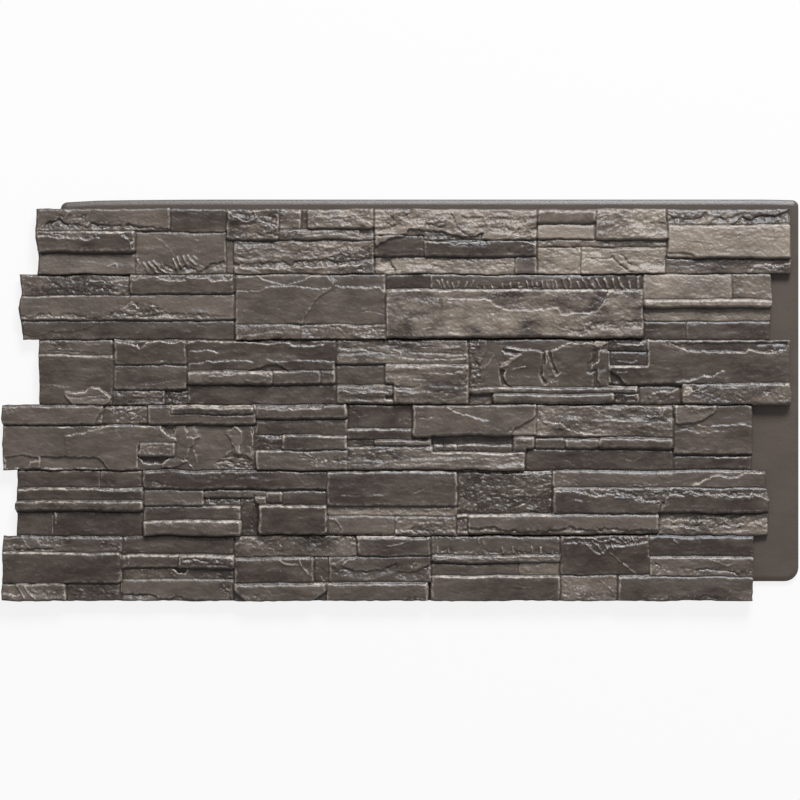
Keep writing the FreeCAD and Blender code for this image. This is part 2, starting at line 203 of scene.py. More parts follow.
courseTwo = {
    "name": "stones_course_2",
    "left": [(120, 27), (150, 30), (172, 26), (200, 31), (222, 34)],
    "right": [(120, 1200), (165, 1203), (172, 1202), (222, 1198)],
    "stones": [
        (27, 363, 151, 192, 23, 2, "smooth", 0.45, 2, 2),
        (27, 199, 120, 154, 20, 2, "sandy", 0.22, 3, 2),
        (199, 362, 120, 151, 25, 1, "smooth", 0.32, 2, 1),
        (27, 363, 192, 222, 19, 0, "smooth", 0.25, 1, 1),
        (364, 598, 120, 198, 25, 3, "smooth", 0.36, 3, 2),
        (364, 467, 198, 222, 28, 2, "layered", 0.45, 3, 2),
        (467, 598, 198, 222, 28, 2, "rough", 0.35, 3, 2),
        (599, 669, 120, 144, 19, 0, "smooth", 0.08, 1, 1),
        (669, 1001, 120, 144, 21, 1, "smooth", 0.25, 2, 2),
        (599, 1001, 144, 218, 29, 4, "worn", 0.62, 3, 3),
        (1002, 1141, 120, 159, 25, 3, "sandy", 0.78, 3, 2),
        (1141, 1203, 120, 159, 23, 1, "sandy", 0.5, 2, 2),
        (1003, 1203, 159, 172, 31.2, 1, "smooth", 0.7, 1, 3),
        (1002, 1203, 172, 193, 19, 0, "sunken", 0.74, 1, 1),
        (1002, 1069, 193, 222, 18, 0, "smooth", 0.15, 1, 1),
        (1069, 1203, 193, 222, 19, 0, "smooth", 0.22, 1, 1),
    ],
    "steps": [
        ("60,138 65,133 75,130 85,133 92,138", -1.5, 12),
        ("130,150 130,131 150,130 196,128", 1.5, 40),
        ("200,126 240,124 258,129 280,129 290,123 306,127 322,124 330,130 357,128", 2.5, 22),
        ("30,184 45,188 60,181 75,180 80,186 95,181 125,184 150,190", -1.8, 8),
        ("178,180 192,172 198,164 200,150", 1.6, 40),
        ("165,188 172,181 185,178 205,183 235,184 262,180 300,182 320,181 328,186 350,185",
         -1.8, 8),
        ("30,214 55,217 70,213 78,209 110,210 130,204 148,197", -1.5, 12),
        ("366,124 398,121 415,131 445,137 470,132 495,120 508,120 521,135", 1.3, 25),
        ("366,147 400,147 420,139 450,139 508,144 520,138 545,142 590,141 597,145", 1.3, 40),
        ("521,137 512,146 496,156 482,172 472,186 470,196", 2.2, 60),
        ("690,158 757,160 770,168 785,177 830,177 867,171 875,182 923,179 936,169 946,146",
         2.4, 30),
        ("915,200 935,193 1000,193", -1.8, 14),
    ],
    "sheets": [
        ("700,145 944,145 935,168 922,178 876,180 868,170 830,176 786,176 770,166 757,159 700,157",
         0, 0, -0.16),
        ("612,164 640,158 672,163 690,172 684,184 655,190 625,184", 0, 0, -0.1),
    ],
    "cracks": [
        ("665,121 671,126 671,142", 2, -1), ("880,205 890,208 905,209 915,205 920,200", 1.8, 1.3),
        ("900,216 910,212 918,206", 1.8, 1.3), ("560,178 575,177 597,181", 1.6, 0.7),
        ("680,131 686,141", 2.6, -1.8), ("687,130 692,142", 2.6, -1.9),
        ("694,133 698,141", 2.2, -1.6), ("703,134 706,142", 2.2, -1.5),
        ("713,134 710,141", 2.2, -1.4), ("726,133 722,140", 2.4, -1.5),
        ("735,132 731,140", 2.2, -1.4), ("876,128 880,143", 4.2, -2.4),
        ("886,127 888,144", 5.6, -2.7), ("898,133 902,144", 3.2, -1.8), ("906,127 913,142", 3, -2),
        ("917,127 926,143", 5.4, -2.5), ("929,127 934,141", 3.4, -2), ("941,129 947,141", 4, -2.2),
        ("953,129 958,142", 3, -2), ("963,128 970,143", 4, -2.4), ("979,134 983,143", 2.6, -1.6),
        ("993,126 995,143", 4.4, -2.2),
    ],
    "chips": [
        ("60,128 140,126", 6, 1), ("100,146 195,146", 8, 1.2), ("135,134 195,133", 6, 1),
        ("205,124 355,124", 4, 0.9), ("30,185 150,187", 5, 1.3),
        ("165,184 240,185 330,187", 6, 1.7), ("200,168 215,175 232,174 250,180", 8, 2),
        ("870,205 900,207 915,204", 8, 1.8), ("915,198 960,202 1000,200", 9, 1.6),
        ("480,208 520,206 590,210", 7, 0.9), ("1150,140 1195,145", 8, 0.8),
        ("1005,168 1060,170 1120,169 1200,170", 3, 1.6), ("745,140 790,141 840,140", 3, 1.6),
    ],
    "ticks": [
        (752, 139, 143), (765, 138, 143), (781, 137, 143), (794, 134, 143), (806, 135, 142),
        (819, 133, 143), (828, 132, 142), (835, 134, 143), (843, 132, 143), (851, 133, 142),
        (858, 129, 142), (864, 131, 141),
    ],
}

courseThree = {
    "name": "stones_course_3",
    "left": [(222, 59), (246, 58), (300, 58), (324, 58)],
    "right": [(222, 1231), (291, 1230), (305, 1233), (324, 1231)],
    "stones": [
        (58, 174, 222, 246, 19, 1, "smooth", 0.4, 2, 1),
        (58, 174, 246, 324, 23, 2, "smooth", 0.3, 1, 1),
        (175, 288, 222, 261, 25, 1, "smooth", 0.3, 2, 2),
        (175, 288, 261, 300, 24, 1, "smooth", 0.3, 2, 1),
        (172, 256, 300, 324, 23, 1, "layered", 0.22, 2, 2),
        (256, 290, 302, 324, 18, 0, "rough", 0.15, 1, 1),
        (290, 522, 222, 271, 24, 2, "smooth", 0.18, 4, 2),
        (290, 423, 271, 293, 29, 0, "bar", 0.38, 0, 0),
        (423, 497, 271, 292, 26, 1, "smooth", 0.25, 3, 1),
        (497, 522, 271, 292, 26, 1, "sandy", 0.22, 2, 2),
        (290, 522, 293, 324, 20, 0, "smooth", 0.2, 1, 1),
        (523, 729, 222, 261, 25, 3, "layered", 0.38, 3, 2),
        (523, 599, 261, 292, 21, 1, "smooth", 0.28, 1, 1),
        (599, 729, 261, 321, 29, 2, "layered", 0.43, 2, 2),
        (523, 612, 292, 321, 25, 3, "layered", 0.5, 3, 2),
        (730, 947, 222, 296, 23, 1, "smooth", 0.32, 2, 1),
        (947, 1233, 222, 291, 24, 0, "smooth", 0.24, 3, 2),
        (947, 1007, 222, 240, 21.5, 0, "layered", 0.2, 2, 1),
        (950, 1008, 240, 263, 20, 1, "smooth", 0.08, 2, 1),
        (730, 994, 296, 307, 26, 0, "bar", 0.15, 0, 0),
        (730, 765, 307, 324, 18, 0, "sunken", 0.15, 0, 0),
        (765, 958, 307, 321, 28, 0, "bar", 0.28, 0, 0),
        (958, 995, 307, 322, 24, 1, "rough", 0.2, 2, 2),
        (995, 1061, 294, 322, 20, 2, "smooth", 0.4, 2, 1),
        (1061, 1233, 290, 322, 29, 3, "sandy", 0.4, 3, 3),
    ],
    "steps": [
        ("75,241 110,239 145,241", -1.8, 6),
        ("178,225 190,226 200,230 210,229 216,235 222,229 228,225 250,224 262,228 286,224",
         2.2, 30),
        ("198,320 205,312 250,312", -2, 8),
        ("292,226 305,224 330,223 380,224 400,228 420,230 440,227 460,231 480,232 500,231",
         1.8, 14),
        ("294,240 312,239 335,241", 1.2, 10), ("293,260 305,259 320,256 335,257 350,255", 1.6, 14),
        ("352,256 375,254 390,257", 1.4, 8), ("415,254 425,258 440,256 480,254 520,256", 1.2, 14),
        ("602,222 603,228 611,231 640,230", -1.8, 12),
        ("612,268 617,263 640,264 652,267 662,263 712,263 722,267", 1.5, 12),
        ("660,275 690,277 712,273", 1.2, 10), ("525,304 535,303 548,307 600,305", 1.2, 10),
        ("786,236 800,236 815,238 845,241 862,238 872,235 882,228 915,227", 2.5, 30),
        ("757,226 757,240 750,250 747,256", 1.8, 16), ("920,270 921,261 930,257 932,243", 2.5, 14),
        ("934,292 931,284 931,273", 2.5, 14), ("949,266 960,264 985,263 1006,262", 1.6, 12),
        ("1050,290 1062,286 1080,283 1095,279 1110,279 1122,272", 2.2, 30),
        ("1012,310 1025,303 1045,304 1055,299", 2.2, 14),
    ],
    "sheets": [
        ("99,305 128,304 133,300 141,297 152,298 162,306 171,312 168,321 155,324 110,324 103,318 "
         "98,312", 3.2, 0.12, 0.2),
        ("383,270 400,266 412,262 430,261 440,266 447,270", -4, 0, -0.2),
        ("600,311 612,311 612,317 600,317", -4, 0, -0.2),
        ("782,235 800,239 812,242 800,246 786,244 780,239", -3, 0, -0.3),
        ("776,267 780,259 792,254 800,249 812,246 806,252 795,258 786,266", 2.5, 0.2, 0.5),
        ("921,230 928,225 940,224 946,226 936,234 928,236", 2.6, 0.1, 0.6),
        ("776,269 785,269 784,282 787,292 793,295 780,295 777,285", -4, 0, -0.3),
        ("950,272 958,276 966,282 972,290 950,290", -5, 0, -0.2),
        ("1042,227 1228,226 1226,236 1210,242 1190,243 1166,236 1160,242 1120,242 1072,240 "
         "1058,234", -2.6, 0, -0.15),
        ("1062,301 1067,295 1076,297 1079,304 1072,311 1063,311", 1.5, 0, 0.6),
    ],
    "cracks": [
        ("105,313 128,311 160,308", 2, 1.2), ("130,318 142,314 165,313", 2, 1.2),
        ("322,281 345,281 365,279", 1.8, -1), ("382,285 392,288 405,288 411,285", 2, -1.2),
        ("314,282 322,280 325,285 321,290 315,288 314,282", 1.6, 1.4),
        ("343,273 348,277 351,273", 1.6, 1.8),
        ("530,236 545,237 560,236 575,241 598,245", 2.2, 1.4),
        ("612,240 622,243 625,249 620,255", 1.8, -1.2), ("640,243 680,244 720,246", 2.5, 1.4),
        ("650,234 700,235", 2, 1), ("650,252 700,254 725,251", 2.5, 1.3),
        ("607,290 615,296 640,298 652,293", 2.2, 1.8),
        ("610,300 620,304 650,305 660,303", 2.4, -1),
        ("716,270 722,268 726,273 724,281 719,285", 1.8, 1.5),
        ("797,270 808,267 815,265", 2, -1.2), ("846,243 847,258 842,268 842,278 848,290", 4, 3.5),
        ("850,244 850,258", 1.8, -1.4), ("846,264 845,280", 1.8, -1.4),
        ("855,243 859,258 868,275", 3.6, 3.2), ("872,274 862,280 858,290", 2, -1.2),
        ("925,240 925,255 916,262 914,271 927,272 928,294", 5, 2.6),
        ("752,268 762,256 768,248", 2, -1.4), ("934,236 945,226 952,224 970,224", 2.4, -1.5),
        ("968,230 1000,231", 2, -1), ("960,258 985,258 992,256", 2, -1.2),
        ("960,275 975,273", 2.6, -1.8), ("1180,229 1200,226 1226,229", 5, 1.5),
        ("1078,304 1092,299 1102,294", 2, -1),
    ],
    "chips": [
        ("80,230 105,237", 8, 1.2), ("180,227 222,230", 4, 1.2), ("250,256 262,258", 4, 1.4),
        ("180,304 245,305", 4, 1), ("262,310 285,312", 8, 1.2), ("410,274 420,284", 5, 1.6),
        ("736,226 740,250 741,290", 11, 2.4), ("880,230 915,229", 4, 1.4),
        ("858,270 864,288", 7, 1.6), ("798,250 780,262", 6, 1.6), ("1035,228 1060,233", 6, 1.4),
        ("1195,240 1228,242", 5, 1.6), ("1010,312 1045,310", 7, 1.6),
        ("1062,302 1082,302", 8, 1.8), ("1120,312 1150,308", 7, 1.2),
        ("1195,305 1230,312", 9, 1.6), ("958,314 992,312", 5, 1.2),
    ],
    "ticks": [],
}

courseFour = {
    "name": "stones_course_4",
    "left": [(324, 2), (345, 0), (356, 3), (390, 1), (426, 2)],
    "right": [(324, 1171), (400, 1172), (426, 1170)],
    "stones": [
        (145, 228, 326, 354, 23, 1, "smooth", 0.22, 2, 2),
        (0, 158, 325, 355, 28, 1, "smooth", 0.4, 4, 2),
        (228, 396, 325, 355, 27, 1, "smooth", 0.25, 3, 2),
        (264, 393, 326, 340, 29.5, 0, "bar", 0.15, 0, 0),
        (0, 396, 355, 426, 20, 0, "smooth", 0.38, 2, 1),
        (214, 271, 383, 406, 26, 2, "smooth", 0.4, 2, 2),
        (396, 539, 325, 346, 27, 2, "smooth", 0.3, 2, 1),
        (396, 539, 346, 371, 22, 0, "smooth", 0.22, 1, 1),
        (396, 436, 371, 395, 22, 0, "layered", 0.35, 1, 1),
        (436, 539, 371, 395, 26, 1, "smooth", 0.2, 2, 1),
        (396, 539, 395, 426, 27, 3, "smooth", 0.4, 3, 2),
        (539, 641, 324, 361, 19, 0, "smooth", 0.2, 1, 1),
        (539, 641, 361, 378, 22, 0, "smooth", 0.05, 1, 1),
        (539, 642, 378, 389, 19, 0, "sunken", 0.25, 0, 0),
        (581, 671, 378, 388, 24, 0, "bar", 0.35, 0, 0),
        (641, 834, 324, 372, 29, 2, "smooth", 0.36, 3, 3),
        (834, 1047, 324, 374, 25, 3, "rough", 0.52, 3, 2),
        (539, 816, 389, 425, 26, 3, "layered", 0.45, 3, 3),
        (673, 798, 372, 387, 16, 0, "sunken", 0.2, 0, 0),
        (673, 797, 386, 398, 19, 0, "smooth", 0.2, 1, 1),
        (688, 711, 385, 397, 22, 0, "rough", 0.3, 1, 1),
        (798, 832, 373, 398, 26, 0, "bar", 0.28, 0, 0),
        (833, 879, 376, 393, 22, 0, "smooth", 0.25, 1, 1),
        (879, 931, 376, 393, 25, 0, "bar", 0.4, 0, 0),
        (931, 1047, 375, 393, 26, 0, "bar", 0.25, 0, 0),
        (818, 1047, 393, 425, 19, 0, "smooth", 0.2, 1, 1),
        (1050, 1172, 324, 401, 24, 0, "smooth", 0.35, 1, 1),
        (1050, 1172, 402, 425, 19, 0, "smooth", 0.15, 1, 1),
    ],
    "steps": [
        ("146,355 148,348 153,340 160,333", -4, 16),
        ("100,372 112,369 130,367 150,361 175,354", 2, 40), ("270,369 272,362 272,357", 1.8, 14),
        ("288,357 289,362 292,368 291,376 303,378", 2.4, 16),
        ("307,377 303,379 301,386 300,389 294,391 291,396 290,405 285,408 289,412 282,417 275,420 "
         "262,423 254,424", 2.8, 24),
        ("368,402 365,398 364,391 360,384 356,376 351,370", 2.2, 14),
        ("366,358 372,362 376,368 377,375 376,384 373,387 373,398", 2.4, 14),
        ("391,408 382,402 375,402 366,402", 2.4, 14), ("391,356 392,380 391,407", 1.6, 12),
        ("400,327 415,330 430,329 437,333 450,329 490,330 500,331 505,327 520,325 536,325",
         2.2, 16),
        ("697,330 710,336 735,345 757,349", 1.6, 34),
        ("845,341 847,350 872,353 880,362 900,368 925,371 957,372", 2.4, 14),
        ("925,348 960,349 1010,350", 1.4, 14), ("1090,356 1110,357 1150,355 1170,357", 1.3, 10),
        ("1052,365 1070,363 1085,366 1140,365", 1, 10), ("1115,405 1140,406 1168,404", 1.2, 8),
    ],
    "sheets": [
        ("60,405 98,405 101,402 104,405 142,405 153,409 160,415 165,424 60,424", -3.5, 0, 0.1),
        ("3,405 30,403 58,408 58,412 45,414 40,424 5,423", -3, 0, 0.1),
        ("0.5,356 250,356 250,362 258,370 272,376 274,381 262,384 216,384 213,390 213,425 0.5,425",
         3.5, 0, 0),
        ("252,357 269,357 270,369 262,371 255,366", -2, 0, -0.1),
        ("217,407 262,407 256,412 250,417 222,415", -4.5, 0, -0.15),
        ("793,372 800,361 813,356 830,346 834,338 834,372", -4.5, 0, 0.25),
        ("1051,324 1117,323 1116,331 1108,341 1095,347 1080,352 1051,353", 4, 0.02, 0.1),
    ],
    "cracks": [
        ("299,395 303,405 305,413", 2.4, -1.4), ("351,366 358,364 364,357", 2, -1.4),
        ("350,402 358,397 364,393", 2.4, -1.6), ("392,356 393,380 392,408", 2, -1.2),
        ("345,408 360,404 370,407 390,409", 2.2, 1.5), ("335,415 350,411 370,416 392,421", 2.6, 2),
        ("350,421 394,423", 2.2, 1.4), ("475,400 485,405 492,412 490,420", 2, -1.3),
        ("650,345 665,346 672,343", 1.8, 1.2),
        ("578,393 585,390 630,389 650,391 672,396", 2, -1.2),
        ("995,326 1002,330 1008,342 1012,344 1030,341 1034,331", 2.2, -1.8),
        ("838,336 845,341 842,346", 2.4, -1.5), ("300,340 392,341", 1.8, 1),
    ],
    "chips": [
        ("4,332 14,335", 6, 1.4), ("175,333 215,335", 8, 1.8), ("185,346 226,347", 5, 1.8),
        ("340,416 392,417", 7, 2.2), ("222,395 258,396", 8, 1.2), ("244,372 262,376", 4, 1.4),
        ("400,375 432,376", 5, 1.4), ("470,404 495,412 535,410", 8, 1.4),
        ("545,400 620,402", 8, 1), ("675,392 700,396 740,397", 5, 1.6), ("798,402 812,412", 6, 2),
        ("836,342 850,352", 7, 1.6), ("795,366 828,362", 6, 1.2), ("1055,333 1100,330", 8, 1),
        ("1055,362 1140,362", 5, 1), ("1060,394 1130,396", 4, 1), ("540,330 560,340", 5, 0.9),
        ("620,345 640,352", 5, 1.2), ("800,380 826,386", 6, 1),
    ],
    "ticks": [],
}

courseFive = {
    "name": "stones_course_5",
    "left": [(426, 24), (472, 24), (478, 21), (488, 21), (494, 24), (528, 23)],
    "right": [(426, 1192), (452, 1193), (470, 1198), (500, 1196), (528, 1195)],
    "stones": [
        (368, 408, 466, 527, 16, 0, "sunken", 0.12, 0, 0),
        (21, 153, 426, 453, 19, 0, "smooth", 0.26, 1, 1),
        (153, 219, 426, 453, 19.5, 0, "smooth", 0.2, 1, 1),
        (21, 220, 453, 473, 23, 0, "smooth", 0.18, 3, 1),
        (21, 220, 473, 490, 27, 0, "bar", 0.25, 0, 0),
        (21, 81, 490, 527, 18, 0, "smooth", 0.28, 0, 0),
        (81, 219, 490, 527, 18.5, 0, "smooth", 0.2, 0, 0),
        (221, 508, 427, 456, 25, 1, "smooth", 0.15, 3, 2),
        (221, 316, 456, 482, 23, 1, "smooth", 0.4, 2, 2),
        (316, 416, 456, 471, 21, 0, "bar", 0.45, 0, 0),
        (316, 373, 471, 482, 17, 0, "smooth", 0.35, 0, 0),
        (221, 374, 482, 505, 21, 0, "smooth", 0.25, 1, 1),
        (220, 375, 504, 527, 27, 1, "smooth", 0.3, 2, 2),
        (396, 421, 466, 479, 24, 0, "bar", 0.35, 0, 0),
        (414, 438, 458, 478, 24, 0, "bar", 0.2, 0, 0),
        (438, 507, 457, 479, 22, 0, "smooth", 0.2, 2, 2),
        (401, 508, 481, 526, 27, 0, "smooth", 0.15, 1, 1),
        (508, 711, 428, 482, 27, 2, "smooth", 0.18, 2, 2),
        (508, 711, 482, 497, 21.5, 0, "sunken", 0.8, 0, 0),
        (508, 614, 497, 526, 22, 0, "smooth", 0.5, 1, 1),
        (614, 710, 498, 527, 24, 1, "rough", 0.45, 2, 2),
        (712, 858, 429, 493, 22, 1, "scaly", 0.18, 2, 2),
        (712, 728, 494, 526, 24, 0, "rough", 0.4, 2, 2),
        (728, 1026, 495, 524, 28, 0, "smooth", 0.45, 2, 1),
        (859, 1198, 427, 453, 25, 1, "smooth", 0.38, 2, 1),
        (860, 1198, 453, 493, 28, 1, "smooth", 0.22, 2, 1),
        (1026, 1198, 493, 527, 21, 1, "rough", 0.6, 3, 3),
    ],
    "steps": [
        ("25,455 155,455 160,458 218,458", 1.4, 10),
        ("733,516 745,516 755,514 770,515 785,519 820,521 850,520 870,518 885,514 900,516 925,519 "
         "940,516 950,518 965,517 975,520 1022,520", -3.8, 12),
        ("1078,450 1092,443 1110,436 1125,435 1137,438 1147,436 1160,430 1190,430", 2.6, 40),
        ("862,460 895,459 910,463 925,466 940,464 955,466 975,463 990,469 1000,475 1012,474 "
         "1033,478 1037,468 1060,464 1075,459 1090,464 1120,463 1140,468 1165,466 1172,461 "
         "1185,467 1196,472", 2.2, 40),
        ("1030,504 1060,503 1080,505", 1.8, 8), ("1030,514 1060,514 1085,517", 1.6, 8),
        ("322,470 327,478 345,482 372,481", 2.5, 12),
    ],
    "sheets": [],
    "cracks": [
        ("530,467 560,466 595,467", 2, -0.9), ("643,460 650,457 660,453", 1.8, 1.2),
        ("511,502 519,503 525,511 532,519 528,525", 2, -1.6), ("662,520 672,526", 2, 1.4),
        ("655,517 665,508 700,507", 2, -1), ("402,484 404,500 407,510 402,520", 1.8, -1),
        ("1033,478 1028,483 1026,493", 3.2, 4), ("895,474 905,476", 3, -1),
        ("955,470 970,470", 3, -1.2), ("1090,500 1092,508 1085,514 1075,514", 2, 1.8),
        ("1128,500 1132,508 1145,514 1158,511 1165,503", 2, -1.8),
        ("1112,514 1122,510 1128,503", 2, -1.6), ("1098,500 1110,498 1124,500", 2, -1.2),
        ("640,487 700,486", 4, -1),
    ],
    "chips": [
        ("320,474 392,475", 5, 1.6), ("375,464 395,467", 4, 1.4), ("300,515 370,515", 7, 0.6),
        ("366,486 372,500", 4, 1.2), ("620,520 650,521", 6, 1.6), ("668,515 700,517", 7, 1.4),
        ("715,500 722,520", 6, 1.8), ("515,505 525,520", 5, 1.2), ("520,488 700,489", 6, 0.9),
        ("900,460 950,461 1000,464 1050,462", 6, 2.2), ("990,472 1015,474 1035,477", 4, 2.2),
        ("1050,462 1195,465", 6, 1.8), ("1030,510 1100,508 1195,510", 12, 1.8),
        ("735,520 800,521 900,520 1020,522", 5, 1.6), ("980,446 1020,448", 4, 1.2),
        ("870,440 900,444", 6, 0.9), ("330,436 400,434", 5, 0.8), ("238,446 252,450", 5, 1.2),
        ("150,444 175,443", 5, 1),
    ],
    "ticks": [
        (150, 440, 451), (79, 498, 524), (83, 492, 508),
    ],
}

courseSix = {
    "name": "stones_course_6",
    "left": [(528, 2), (555, 0), (603, 1), (630, 0)],
    "right": [(528, 1173), (592, 1174), (630, 1172)],
    "stones": [
        (0, 188, 529, 554, 21, 2, "smooth", 0.32, 2, 2),
        (0, 185, 554, 603, 24, 0, "smooth", 0.15, 2, 1),
        (0, 102, 603, 630, 27, 2, "smooth", 0.4, 4, 4),
        (102, 185, 603, 630, 20, 0, "smooth", 0.25, 1, 1),
        (189, 361, 529, 557, 19, 0, "smooth", 0.26, 1, 1),
        (189, 276, 558, 579, 24, 1, "smooth", 0.28, 2, 1),
        (276, 361, 558, 581, 28, 0, "bar", 0.22, 0, 0),
        (189, 361, 580, 596, 20, 0, "sunken", 0.22, 0, 0),
        (189, 361, 596, 630, 22, 1, "smooth", 0.42, 2, 1),
        (364, 552, 528, 561, 21, 2, "sandy", 0.3, 2, 3),
        (555, 668, 530, 561, 24, 1, "smooth", 0.2, 2, 2),
        (364, 488, 563, 601, 24, 1, "smooth", 0.18, 2, 2),
        (488, 511, 561, 600, 19, 0, "smooth", 0.2, 1, 1),
        (511, 669, 561, 600, 22, 0, "smooth", 0.26, 1, 1),
        (364, 506, 604, 630, 28, 1, "smooth", 0.36, 2, 3),
        (508, 663, 602, 630, 26, 1, "smooth", 0.33, 2, 2),
        (671, 870, 528, 558, 22, 1, "smooth", 0.26, 2, 1),
        (671, 871, 558, 571, 24.5, 0, "bar", 0.26, 0, 0),
        (671, 808, 571, 591, 19, 0, "smooth", 0.35, 0, 0),
        (808, 870, 571, 591, 20, 0, "sunken", 0.55, 0, 0),
        (671, 871, 591, 630, 25, 1, "smooth", 0.3, 3, 2),
        (872, 1011, 528, 590, 23, 0, "smooth", 0.18, 2, 1),
        (872, 961, 590, 630, 24, 2, "sandy", 0.6, 2, 2),
        (962, 1174, 592, 630, 27, 1, "smooth", 0.3, 2, 3),
        (1012, 1174, 529, 560, 22, 0, "smooth", 0.08, 1, 1),
        (1012, 1174, 561, 592, 26, 1, "smooth", 0.38, 3, 2),
    ],
    "steps": [
        ("190,621 230,619 240,622 245,627 262,626 270,622 280,621 285,626 310,626 320,628 360,628",
         -3, 10),
        ("533,575 550,582 575,584 592,580 612,571", -2.8, 12),
        ("620,583 640,586 650,582 668,573", -2.8, 12), ("511,572 522,570 530,566", 1.5, 14),
        ("320,593 335,595 345,591 350,595 360,592", -1.2, 6),
        ("880,540 895,537 912,537 920,548 935,556 945,545 970,543 985,541 1005,538", 1.8, 30),
    ],
    "sheets": [
        ("268,580 290,580 286,587 275,588", -3.5, 0, -0.1),
        ("364,616 372,622 386,630 364,631", -6, 0, -0.1),
        ("507,616 495,623 480,630 507,631", -6, 0, -0.1),
        ("0,603 22,604 30,617 22,622 0,618", -2, 0, 0.1),
    ],
    "cracks": [
        ("20,551 60,551 80,549", 3, 2.5), ("35,538 42,546 45,551", 2, -1),
        ("22,608 30,617 35,626", 2, -1.6), ("37,608 42,618 52,626", 2, -1.6),
        ("198,560 198,572", 2, -1.2), ("285,567 300,565 315,568 322,569", 2.2, 2),
        ("322,574 345,573 360,576", 2, 1.4), ("600,545 625,541 645,534", 1.8, -1.1),
        ("434,566 440,573 465,574", 2, -1.5), ("464,565 466,572 478,586", 2, -1.8),
        ("532,574 540,568 550,566", 2, -1.5), ("680,566 735,563 800,567 868,566", 1.6, -0.7),
        ("800,608 812,611 825,609", 1.8, -0.7),
        ("880,531 922,531 930,538 945,538 950,533 966,539", 2.2, -2), ("912,540 920,548", 2, -1.8),
        ("921,536 935,549", 2, -1.8), ("930,540 932,550 940,557", 2, -1.6),
        ("941,540 946,549", 2, -1.8), ("952,540 956,550", 2, -1.6), ("965,531 974,540", 2, -1.6),
        ("975,531 980,540", 2, -1.6), ("985,531 990,540", 2, -1.6),
        ("950,555 960,565 975,577 990,588", 2, -1), ("970,573 978,577", 3, -1.4),
        ("935,600 945,608 955,617", 2, -1), ("1020,572 1030,578 1022,588", 2, 1.4),
        ("1080,582 1100,580 1112,583 1140,584 1150,590", 2.2, 1.8),
        ("1110,568 1130,576 1140,572", 1.8, -0.8), ("1050,536 1056,541", 2.4, -1.2),
    ],
    "chips": [
        ("60,535 100,540", 9, 1.2), ("160,540 180,545", 6, 1.4), ("5,540 40,546", 6, 1.2),
        ("45,612 98,622", 9, 1.4), ("5,618 30,624", 6, 1.4), ("112,615 182,616", 10, 1),
        ("345,603 356,625", 8, 1.5), ("322,594 360,596", 4, 1.4), ("280,568 356,570", 7, 1),
        ("370,535 430,545", 10, 1.4), ("480,535 550,535", 6, 1.3), ("515,576 535,586", 6, 1.6),
        ("490,570 505,592", 6, 1.4), ("640,572 666,582", 6, 1.6), ("385,624 410,624", 5, 1.4),
        ("636,626 660,627", 4, 1.6), ("675,532 700,531 735,531", 3, 1.2),
        ("675,553 868,555", 4, 1.6), ("675,563 868,564", 3, 0.7), ("878,620 955,624", 5, 1.6),
        ("880,535 1005,535", 6, 1.4), ("1015,575 1040,585", 8, 1.4), ("1060,583 1170,586", 6, 1.2),
        ("1000,625 1170,626", 4, 1.2),
    ],
    "ticks": [
        (680, 546, 556), (697, 548, 556), (745, 533, 540), (753, 536, 545), (780, 547, 556),
        (797, 547, 556), (827, 546, 555), (840, 547, 556), (192, 529, 538),
    ],
}

courses = [courseOne, courseTwo, courseThree, courseFour, courseFive, courseSix]


def easeStep(share):
    # 0 below 0, 1 above 1, and three squares less two cubes between
    share = np.clip(share, 0.0, 1.0)
    return share * share * (3 - 2 * share)


def latticeNoise(u, v, seed, cells=256):
    # Random values from -1 to 1 at whole numbers, blended by an ease step between them
    table = np.random.default_rng(seed).random((cells, cells)) * 2 - 1
    cellU, cellV = np.floor(u).astype(int), np.floor(v).astype(int)
    blendU, blendV = easeStep(u - cellU), easeStep(v - cellV)
    nearU, nearV = cellU % cells, cellV % cells
    farU, farV = (cellU + 1) % cells, (cellV + 1) % cells
    upper = table[nearU, nearV] * (1 - blendU) + table[farU, nearV] * blendU
    lower = table[nearU, farV] * (1 - blendU) + table[farU, farV] * blendU
    return upper * (1 - blendV) + lower * blendV


def fractalNoise(u, v, seed, octaves=3, spread=1.6):
    # Sum of noises, each at twice the frequency and half the strength of the last, over a spread
    # that holds it between about -1 and 1
    return sum(0.5 ** octave * latticeNoise(u * 2 ** octave, v * 2 ** octave, seed + octave)
               for octave in range(octaves)) / spread


def facets(u, v, seed, cells=64, level=0.4):
    # Scattered centres, one a cell; each place lies on the tilted plane of the nearest centre,
    # which is itself up to a level high or low
    centres = np.random.default_rng(seed).random((cells, cells, 2))
    tilts = np.random.default_rng(seed + 1).random((cells, cells, 3)) * 2 - 1
    cellU, cellV = np.floor(u).astype(int), np.floor(v).astype(int)
    nearest, value = np.full(u.shape, np.inf), np.zeros(u.shape)
    for stepU in (-1, 0, 1):
        for stepV in (-1, 0, 1):
            column, row = (cellU + stepU) % cells, (cellV + stepV) % cells
            gapU = u - cellU - stepU - centres[column, row, 0]
            gapV = v - cellV - stepV - centres[column, row, 1]
            away, tilt = np.hypot(gapU, gapV), tilts[column, row]
            plane = tilt[..., 0] * gapU + tilt[..., 1] * gapV + level * tilt[..., 2]
            value = np.where(away < nearest, plane, value)
            nearest = np.minimum(nearest, away)
    return value


def blurred(field, radius):
    # Weighted mean of the neighbours along both directions, weights falling off as a bell
    reach = int(radius * 2.5) + 1
    weights = np.exp(-0.5 * (np.arange(-reach, reach + 1) / radius) ** 2)
    weights /= weights.sum()
    for axis in (0, 1):
        padded = np.pad(field, [(reach, reach) if a == axis else (0, 0) for a in (0, 1)], "edge")
        size = field.shape[axis]
        field = sum(w * np.take(padded, range(k, k + size), axis) for k, w in enumerate(weights))
    return field


